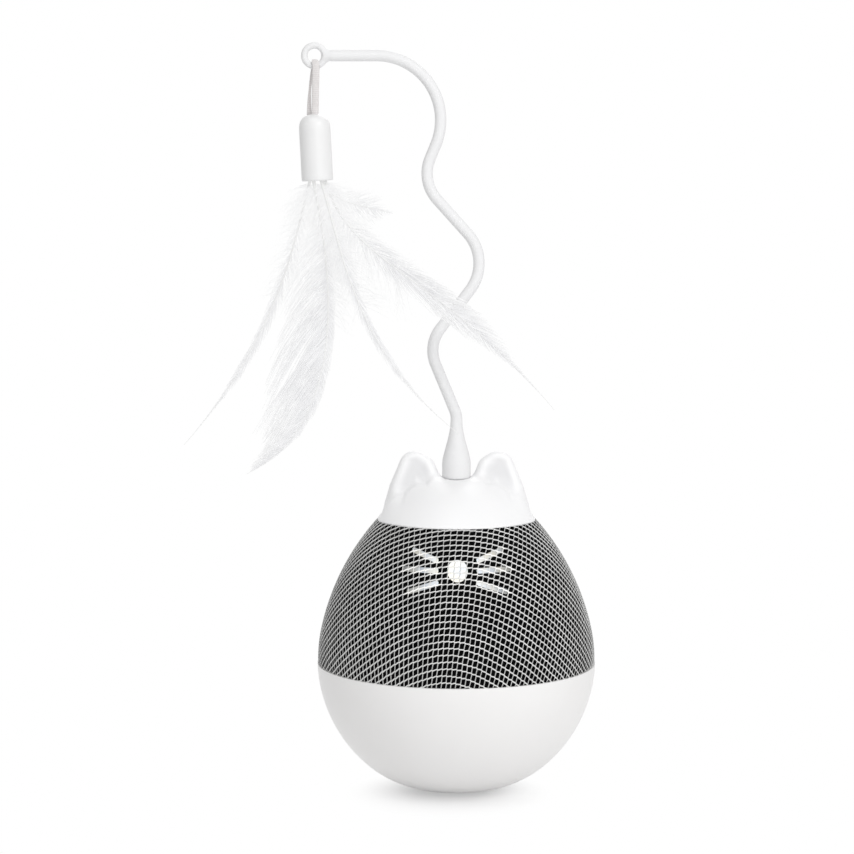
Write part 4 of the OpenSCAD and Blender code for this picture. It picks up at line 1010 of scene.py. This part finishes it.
# %% [markdown]
# ## The elastic loop
# A flat ribbed elastic hangs over the eye's lower wire, and both its legs go into the ferrule's
# crown. The front leg leans right and the rear leg leans left, as in the picture, and the rear one is
# seen half edge-on, so it is made narrower. The same sweep makes it, with a flat section. Its legs
# hang nearly upright, so the ribs and cords of the weave can be plain waves along Z and X.

# %% Elastic loop
LOOP_Z, LOOP_R, LOOP_FOOT = ring_z - RING_R, 1.95, 228.3
BAND_W, BAND_T = 1.15, 0.36                        # half the width and half the thickness
FRONT_X, REAR_X = (0.55, 0.15), (-0.55, -1.9)      # across, at the eye and at the ferrule
REAR_BOW, CLOSE_IN = 0.5, 0.75                     # the rear leg's bow; both legs close in at the foot
LEG_STEPS, TURN_STEPS = 26, 22
BAND_AT = [0, 20, 30, 44, 60, 74]                  # points along the path, and the width at them
BAND_SHARE = [1.0, 1.06, 1.06, 0.55, 0.36, 0.76]


def loop_path():
    drop = LOOP_Z - LOOP_FOOT
    points = []
    for part in np.linspace(1, 0, LEG_STEPS, endpoint=False):
        x = np.interp(part, (0, 1), FRONT_X)
        points.append((x, -LOOP_R + CLOSE_IN * part ** 2, LOOP_Z - drop * part))
    for angle in np.linspace(0, math.pi, TURN_STEPS, endpoint=False):
        x = np.interp(angle, (0, math.pi), (FRONT_X[0], REAR_X[0]))
        points.append((x, -LOOP_R * math.cos(angle), LOOP_Z + LOOP_R * math.sin(angle)))
    for part in np.linspace(0, 1, LEG_STEPS + 1):
        x = np.interp(part, (0, 1), REAR_X) - REAR_BOW * math.sin(math.pi * part)
        points.append((x, LOOP_R - CLOSE_IN * part ** 2, LOOP_Z - drop * part))
    return np.array(points) + (ring_x, 0, 0)


band = loop_path()
band_width = BAND_W * np.interp(np.arange(len(band)), BAND_AT, BAND_SHARE)
band_length = np.linalg.norm(np.diff(band, axis=0), axis=1).sum()
print("elastic, mm:", round(band_length, 1))

# %% Elastic's finish and sweep
RIB_WAVES, CORD_WAVES, WEAVE_SHARE = 9000.0, 14000.0, 0.15      # radians per metre; share in the tone
ELASTIC_FUZZ = 3000.0
ELASTIC_DARK, ELASTIC_PALE = (0.57, 0.54, 0.535, 1), (0.78, 0.76, 0.755, 1)


def make_elastic():
    material, tree, shader, vector = finish_material("ribbed elastic", Sheen_Weight=0.2)
    place = add_node(tree, "ShaderNodeSeparateXYZ", {0: vector})
    ribs = math_node(tree, "SINE", math_node(tree, "MULTIPLY", place.outputs["Z"], RIB_WAVES))
    cords = math_node(tree, "SINE", math_node(tree, "MULTIPLY", place.outputs["X"], CORD_WAVES))
    fuzz = noise(tree, vector, ELASTIC_FUZZ, 2.0)
    weave = math_node(tree, "MULTIPLY_ADD", math_node(tree, "ADD", ribs, cords), WEAVE_SHARE, fuzz)
    colour = mix_colour(tree, weave, ELASTIC_DARK, ELASTIC_PALE)
    relief = add_node(tree, "ShaderNodeBump", {"Height": weave, "Strength": 0.35, "Distance": 0.00015})
    rough = math_node(tree, "MULTIPLY_ADD", fuzz, 0.2, 0.65)
    tree.links.new(colour, shader.inputs["Base Color"])
    tree.links.new(rough, shader.inputs["Roughness"])
    tree.links.new(relief.outputs["Normal"], shader.inputs["Normal"])
    return material


FINISH["elastic"] = make_elastic()
along = np.gradient(band, axis=0)
across = np.cross(along, (1.0, 0, 0))
across /= np.linalg.norm(across, axis=1, keepdims=True)
loop = sweep("elastic_loop", [(band, band_width, across)], FINISH["elastic"], sides=16,
             flatness=BAND_T / BAND_W)
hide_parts("hanger_loop")
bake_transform(loop)

# %% [markdown]
# ## The ferrule
# A short turned cap of white plastic holds the feathers' quills. A lathe profile gives it its full
# rounded shoulder, its soft lower lip and the bore that the bound quills sit in. A Screw modifier
# could turn the profile too; a small function does it here and closes the poles. In the picture the
# ferrule leans a little, so its points are turned about the middle of its dome.

# %% Ferrule
FERRULE_R, FERRULE_BORE, FERRULE_LOW, DOME_Z = 5.3, 4.3, 206.72, 223.72
BORE_DEPTH, BORE_EDGE, LIP_R, LIP_TOP = 15.0, 0.6, 0.5, 1.2
DOME_POWER = 2 / 2.5                         # 1 would be a half ball; less gives a fuller shoulder
FERRULE_LEAN = math.radians(2.8)


def lathe(name, profile, sides, centre):
    """Turns a closed (radius, height) profile about an upright axis."""
    profile = np.array(profile)
    turn = np.linspace(0, 2 * np.pi, sides, endpoint=False)
    points = np.stack([np.outer(np.cos(turn), profile[:, 0]) + centre[0],
                       np.outer(np.sin(turn), profile[:, 0]) + centre[1],
                       np.broadcast_to(profile[:, 1], (sides, len(profile)))], -1).reshape(-1, 3)
    n = len(profile)
    faces = []
    for k in range(sides):
        for j in range(n - 1):
            a, b = k * n + j, ((k + 1) % sides) * n + j
            faces.append((a, b, b + 1, a + 1))
    obj = link_mesh(name, points, faces)
    shape = bmesh.new()
    shape.from_mesh(obj.data)
    bmesh.ops.remove_doubles(shape, verts=shape.verts, dist=1e-6)
    bmesh.ops.recalc_face_normals(shape, faces=shape.faces)
    shape.to_mesh(obj.data)
    shape.free()
    return obj


def make_ferrule_profile():
    bore_top, lip_middle = FERRULE_LOW + BORE_DEPTH, (FERRULE_R + FERRULE_BORE) / 2
    profile = [(0.0, bore_top), (FERRULE_BORE - BORE_EDGE, bore_top), (FERRULE_BORE, bore_top - BORE_EDGE),
               (FERRULE_BORE, FERRULE_LOW + LIP_R)]
    for angle in np.linspace(math.pi, 2 * math.pi, 9):
        profile.append((lip_middle + LIP_R * math.cos(angle), FERRULE_LOW + LIP_R + LIP_R * math.sin(angle)))
    profile += [(FERRULE_R, z) for z in np.linspace(FERRULE_LOW + LIP_TOP, DOME_Z, 8)]
    for angle in np.linspace(0, math.pi / 2, 25)[1:]:
        profile.append((FERRULE_R * math.cos(angle) ** DOME_POWER,
                        DOME_Z + FERRULE_R * math.sin(angle) ** DOME_POWER))
    return profile


def leaned(points):
    """Turns points about the dome's middle, so that the ferrule's foot swings right."""
    middle = np.array([ring_x, 0, DOME_Z])
    turn = np.array([[math.cos(FERRULE_LEAN), 0, -math.sin(FERRULE_LEAN)], [0, 1, 0],
                     [math.sin(FERRULE_LEAN), 0, math.cos(FERRULE_LEAN)]])
    return (np.asarray(points) - middle) @ turn.T + middle


ferrule = lathe("ferrule_skin", make_ferrule_profile(), 64, (ring_x, 0))
skin = np.empty(len(ferrule.data.vertices) * 3)
ferrule.data.vertices.foreach_get("co", skin)
ferrule.data.vertices.foreach_set("co", (leaned(skin.reshape(-1, 3) / MM) * MM).ravel())
ferrule.data.materials.append(FINISH["ferrule_plastic"])
print("ferrule_skin:", len(ferrule.data.polygons), "faces")
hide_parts("feather_ferrule")
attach(ferrule, "teaser")

# %% [markdown]
# ## The feathers
# Six white feathers hang from the ferrule: a broad one in the middle, a thin one on the left, two that
# sweep right past the wand, a short one and a tuft of down. Each has a shaft that thins to a hair and
# barbs that leave it at a slant, bend towards the tip, and stick together in clumps with splits
# between them. Near the root hangs loose, wavy down. Cards with a picture of a feather are the quick
# way, but they look flat from the side, so every strand is real. The finish comes first: a strand
# lets light through, the finer the more, and a glow that follows the girth stands for that light.

# %% Feather finish
SEEN_THROUGH = (0.00004, 0.00018)      # a strand this fine lets most light through, one this thick the least
BARB_COLOURS = (0.38, 0.38, 0.385, 1), (0.46, 0.46, 0.46, 1)
DENSE_GLOWS, FINE_GLOW = ((0.42, 0.42, 0.43, 1), (0.49, 0.49, 0.495, 1)), (0.56, 0.56, 0.56, 1)
CLOUD_SCALE, STREAK_SCALE = 260.0, 4200.0


def make_feather_finish():
    material, tree, shader, vector = finish_material("feather", Specular_IOR_Level=0.2, Emission_Strength=1.0)
    cloud = noise(tree, vector, CLOUD_SCALE, 2.0)
    streak = noise(tree, vector, STREAK_SCALE, 2.0)
    colour = mix_colour(tree, cloud, *BARB_COLOURS)
    girth = add_node(tree, "ShaderNodeAttribute", attribute_name="girth").outputs["Fac"]
    fine = add_node(tree, "ShaderNodeMapRange", {"Value": girth, "From Min": SEEN_THROUGH[0],
                                                 "From Max": SEEN_THROUGH[1], "To Min": 1.0, "To Max": 0.0})
    dense = mix_colour(tree, cloud, *DENSE_GLOWS)
    through = mix_colour(tree, fine.outputs[0], dense, FINE_GLOW)
    tree.links.new(through, shader.inputs["Emission Color"])
    rough = math_node(tree, "MULTIPLY_ADD", streak, 0.2, 0.55)
    tree.links.new(colour, shader.inputs["Base Color"])
    tree.links.new(rough, shader.inputs["Roughness"])
    return material


FINISH["feather"] = make_feather_finish()
print("finishes:", len(FINISH))

# %% [markdown]
# ## Down
# At the root of a feather the strands are fine and loose, and don't hook together. Each one leaves the
# shaft at its own slant, sways, and drifts to the front or the back. A fixed seed for every feather
# keeps each strand where it is.

# %% Loose down
DOWN_R, DOWN_POINTS, DOWN_TAPER = 0.075, 9, 0.6
ROOT_CROWD = 1.2                                     # above 1, more of the down sits near the root
DOWN_SPAN, DOWN_SLANT, DOWN_CURL = (0.45, 1.0), (42, 84), (0.2, 0.6)      # share, degrees, share
SWAY, SWAY_WAVES, SWAY_FRONT = (0.3, 1.0), (4, 9), 0.6
DOWN_DRIFT, DOWN_TWIST = 0.18, 0.5
FRONT = np.array([0.0, -1.0, 0.0])


def bezier(p, t):
    t = np.asarray(t)[:, None]
    return (1 - t) ** 3 * p[0] + 3 * t * (1 - t) ** 2 * p[1] + 3 * t * t * (1 - t) * p[2] + t ** 3 * p[3]


def unit(v):
    return v / np.linalg.norm(v, axis=-1, keepdims=True)


def down_lines(curve, length, along, side, fluff, rng):
    """Loose down near a feather's root. fluff holds: from and to along the shaft, reach to the left and
    right, strands per millimetre."""
    first, last, left, right, crowd = fluff
    lines = []
    for _ in range(int((last - first) * crowd)):
        place = first + (last - first) * rng.uniform() ** ROOT_CROWD
        k = int(np.searchsorted(length, place))
        sign = rng.choice((-1, 1))
        span = (left if sign > 0 else right) * rng.uniform(*DOWN_SPAN)
        v = np.linspace(0, 1, DOWN_POINTS)[:, None]
        bend = np.radians(rng.uniform(*DOWN_SLANT)) * (1 - rng.uniform(*DOWN_CURL) * v)
        heading = along[k] * np.cos(bend) + sign * side[k] * np.sin(bend)
        points = curve[k] + np.cumsum(heading * span / DOWN_POINTS, axis=0)
        sway = rng.uniform(*SWAY) * np.sin(rng.uniform(0, 6) + rng.uniform(*SWAY_WAVES) * v) * v
        drift = rng.normal(0, DOWN_DRIFT) * span * v
        points = points + sway * along[k] + (drift + SWAY_FRONT * sway) * FRONT
        facing = unit(FRONT + DOWN_TWIST * rng.normal(size=3))
        lines.append((points, DOWN_R * (1 - DOWN_TAPER * v[:, 0]), facing))
    return lines


# %% [markdown]
# ## Shafts and barbs
# A feather's shaft is one smooth curve from its seat in the ferrule. Barbs step along both its sides.
# Every few millimetres a new clump starts, whose barbs share a turn, a length and a lift, and lean
# together at their ends, so that splits open between the clumps. Towards the root the barbs get
# looser, and towards the tip shorter and rarer. A hair system would be quicker to set up, but its
# strands aren't a mesh, which the export needs.

# %% Feather strands
QUILL_RING, QUILL_COUNT, QUILL_IN = 2.6, 6, 6.0            # seats in the ferrule, and how deep they are
SHAFT_ROOT, SHAFT_TIP = 0.55, 0.07
BARB_POINTS, TIP_TAPER, TIP_REACH = 7, 3.0, 0.62
BARB_R, BARB_THIN = 0.22, 0.09                             # girth in the vane, and what it loses in the down
BARB_TAPER, BARB_BEND, BARB_TWIST = 0.72, 0.42, 0.35       # loss of girth and of slant to the end; facing
BARBS_END, RARE_FROM, VANE_FULL = 0.985, 0.7, 0.72         # along the shaft; fullness of the outline
CLUMP_SPAN, CLUMP_LONG = (1.5, 6.5), (0.86, 1.06)
CLUMP_TURN, CLUMP_PULL = 5, 7                              # degrees
TIP_CLOSE, LOOSE_TURN, TURN_LIMITS = 0.45, 24, (8, 85)     # slant lost at the tip; degrees
LENGTHS, TIP_LENGTHS, STEPS = (0.9, 1.03), (0.85, 1.15), (0.75, 1.3)      # how much barbs differ
CURVE_POINTS = 400


def feather_lines(quill, reach, half, swell, look, fluff, seed):
    """Shaft and barbs of one feather. look holds: where the vane begins, where the loose barbs end, barb
    spacing, slant, share of the width left and right of the shaft, looseness of the barbs."""
    rng = np.random.default_rng(seed)
    angle = 2 * np.pi * quill / QUILL_COUNT
    root = leaned([[ring_x + QUILL_RING * math.cos(angle), QUILL_RING * math.sin(angle), FERRULE_LOW]])[0]
    p = [root] + [root + np.array(r, float) for r in reach]
    t = np.linspace(0, 1, CURVE_POINTS)
    curve = bezier(p, t)
    length = np.concatenate([[0], np.cumsum(np.linalg.norm(np.diff(curve, axis=0), axis=1))])
    along = unit(np.gradient(curve, axis=0))
    side = unit(np.cross(along, FRONT))
    shaft_t = np.linspace(0, 1, 60)
    shaft = np.concatenate([root + np.array([[0, 0, QUILL_IN]]), bezier(p, shaft_t)])
    thick = np.concatenate([[SHAFT_ROOT], SHAFT_ROOT + (SHAFT_TIP - SHAFT_ROOT) * shaft_t ** 0.6])
    lines = []
    start, down_end, pitch, slant, shares, loose = look
    for sign, share in ((-1, shares[0]), (1, shares[1])):
        place, clump_end = length[-1] * start, 0.0
        while place < length[-1] * BARBS_END:
            if place >= clump_end:
                clump_start, clump_end = place, place + rng.uniform(*CLUMP_SPAN)
                clump_turn, clump_long = rng.normal(0, loose * CLUMP_TURN), rng.uniform(*CLUMP_LONG)
                clump_lift = rng.normal(0, 0.06 + 0.1 * loose)
            at = np.interp(place, length, t)
            k = int(at * (CURVE_POINTS - 1))
            width = half * max(np.sin(np.pi * at ** swell), 0) ** VANE_FULL
            width = width * share * min(1, TIP_TAPER * (1 - at))
            downy = max(0.0, (down_end - at) / max(down_end - start, 0.01))
            pull = ((place - clump_start) / (clump_end - clump_start) - 0.5) * CLUMP_PULL * loose
            turn = np.radians(np.clip(slant * (1 - TIP_CLOSE * at) + clump_turn - pull + LOOSE_TURN * downy
                                      + rng.normal(0, 1.5 + 9 * downy * loose), *TURN_LIMITS))
            spread = width * clump_long * rng.uniform(*LENGTHS) + 1.6 * downy
            span = spread / max(np.sin((1 - BARB_BEND / 2) * turn), 0.22)
            span = min(span, (length[-1] - place) * TIP_REACH * rng.uniform(*TIP_LENGTHS) + 0.6)
            v = np.linspace(0, 1, BARB_POINTS)[:, None]
            bend = turn * (1 - BARB_BEND * v)
            heading = along[k] * np.cos(bend) + sign * side[k] * np.sin(bend)
            steps = heading * span / (BARB_POINTS - 1)
            points = curve[k] + np.concatenate([np.zeros((1, 3)), np.cumsum(steps[1:], axis=0)])
            lift = (0.05 + clump_lift) * width * v ** 2 + rng.normal(0, 0.05)
            points = points + FRONT * lift
            wave = downy * rng.uniform(0.3, 0.9) * np.sin(rng.uniform(0, 6) + 5 * v) * v
            points = points + wave * along[k] + wave * rng.normal(0, 1) * FRONT
            girth = (BARB_R - BARB_THIN * downy) * (1 - BARB_TAPER * v[:, 0])
            lines.append((points, girth, unit(FRONT + BARB_TWIST * rng.normal(size=3))))
            place += pitch * rng.uniform(*STEPS) * (1 + 0.6 * downy + 8 * max(0, at - RARE_FROM))
    return [(shaft, thick, FRONT)], lines + down_lines(curve, length, along, side, fluff, rng)


# %% [markdown]
# ## The six feathers
# Each row names a CAD node, its seat in the ferrule, three points that bend the shaft, half the vane's
# width, where the vane is widest, and how its barbs and down look. Shaft and strands are two pieces,
# because horn and barbs have different finishes, and both stand for the one CAD blade.

# %% Feathers
MAIN_LOOK = (0.14, 0.38, 0.22, 46, (0.22, 2.3), 0.7)
LEFT_LOOK = (0.10, 0.45, 0.80, 24, (1.1, 0.9), 1.2)
RIGHT_LOOK = (0.10, 0.45, 0.50, 30, (1.0, 0.9), 1.4)
MID_LOOK = (0.20, 0.35, 0.80, 22, (1.0, 1.0), 1.0)
SHORT_LOOK = (0.15, 0.40, 0.30, 26, (1.0, 1.0), 1.0)
DOWN_LOOK = (0.05, 1.30, 0.28, 42, (1.0, 1.0), 1.6)
FEATHERS = [
    ("main_plume", 4, [[8, -4, -38], [10, -8, -82], [-22.6, -7, -98]], 12.0, 1.15,
     MAIN_LOOK, (0.5, 48, 17, 11, 11)),
    ("left_plume", 3, [[-8, 1, -34], [-16, 0, -58], [-43, -1, -89]], 2.0, 0.8,
     LEFT_LOOK, (0.5, 40, 9, 9, 6)),
    ("right_plume", 0, [[8, -10, -28], [38, -24, -30], [76, -25, -75]], 5.6, 0.8,
     RIGHT_LOOK, (0.5, 46, 17, 8, 9)),
    ("mid_plume", 5, [[8, -12, -26], [12, -20, -56], [46, -24, -83]], 2.0, 0.8,
     MID_LOOK, (0.5, 46, 9, 15, 8)),
    ("short_plume", 2, [[2, 3, -14], [8, 5, -26], [15, 6, -38]], 5.0, 1.0,
     SHORT_LOOK, (0.5, 24, 8, 8, 6)),
    ("down_tuft", 1, [[4, 1, -8], [13, 0, -8], [24, -1, -11]], 5.5, 1.0,
     DOWN_LOOK, (0.5, 20, 6, 7, 5)),
]
FIRST_SEED = 11
for seed, (node, *shape) in enumerate(FEATHERS, FIRST_SEED):
    shaft, barbs = feather_lines(*shape, seed)
    feather = sweep(node + "_strands", barbs, FINISH["feather"], sides=4, flatness=0.22)
    horn = sweep(node + "_shaft", shaft, FINISH["quill_horn"], sides=8)
    for piece in (feather, horn):
        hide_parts(node)
        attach(piece, "teaser")
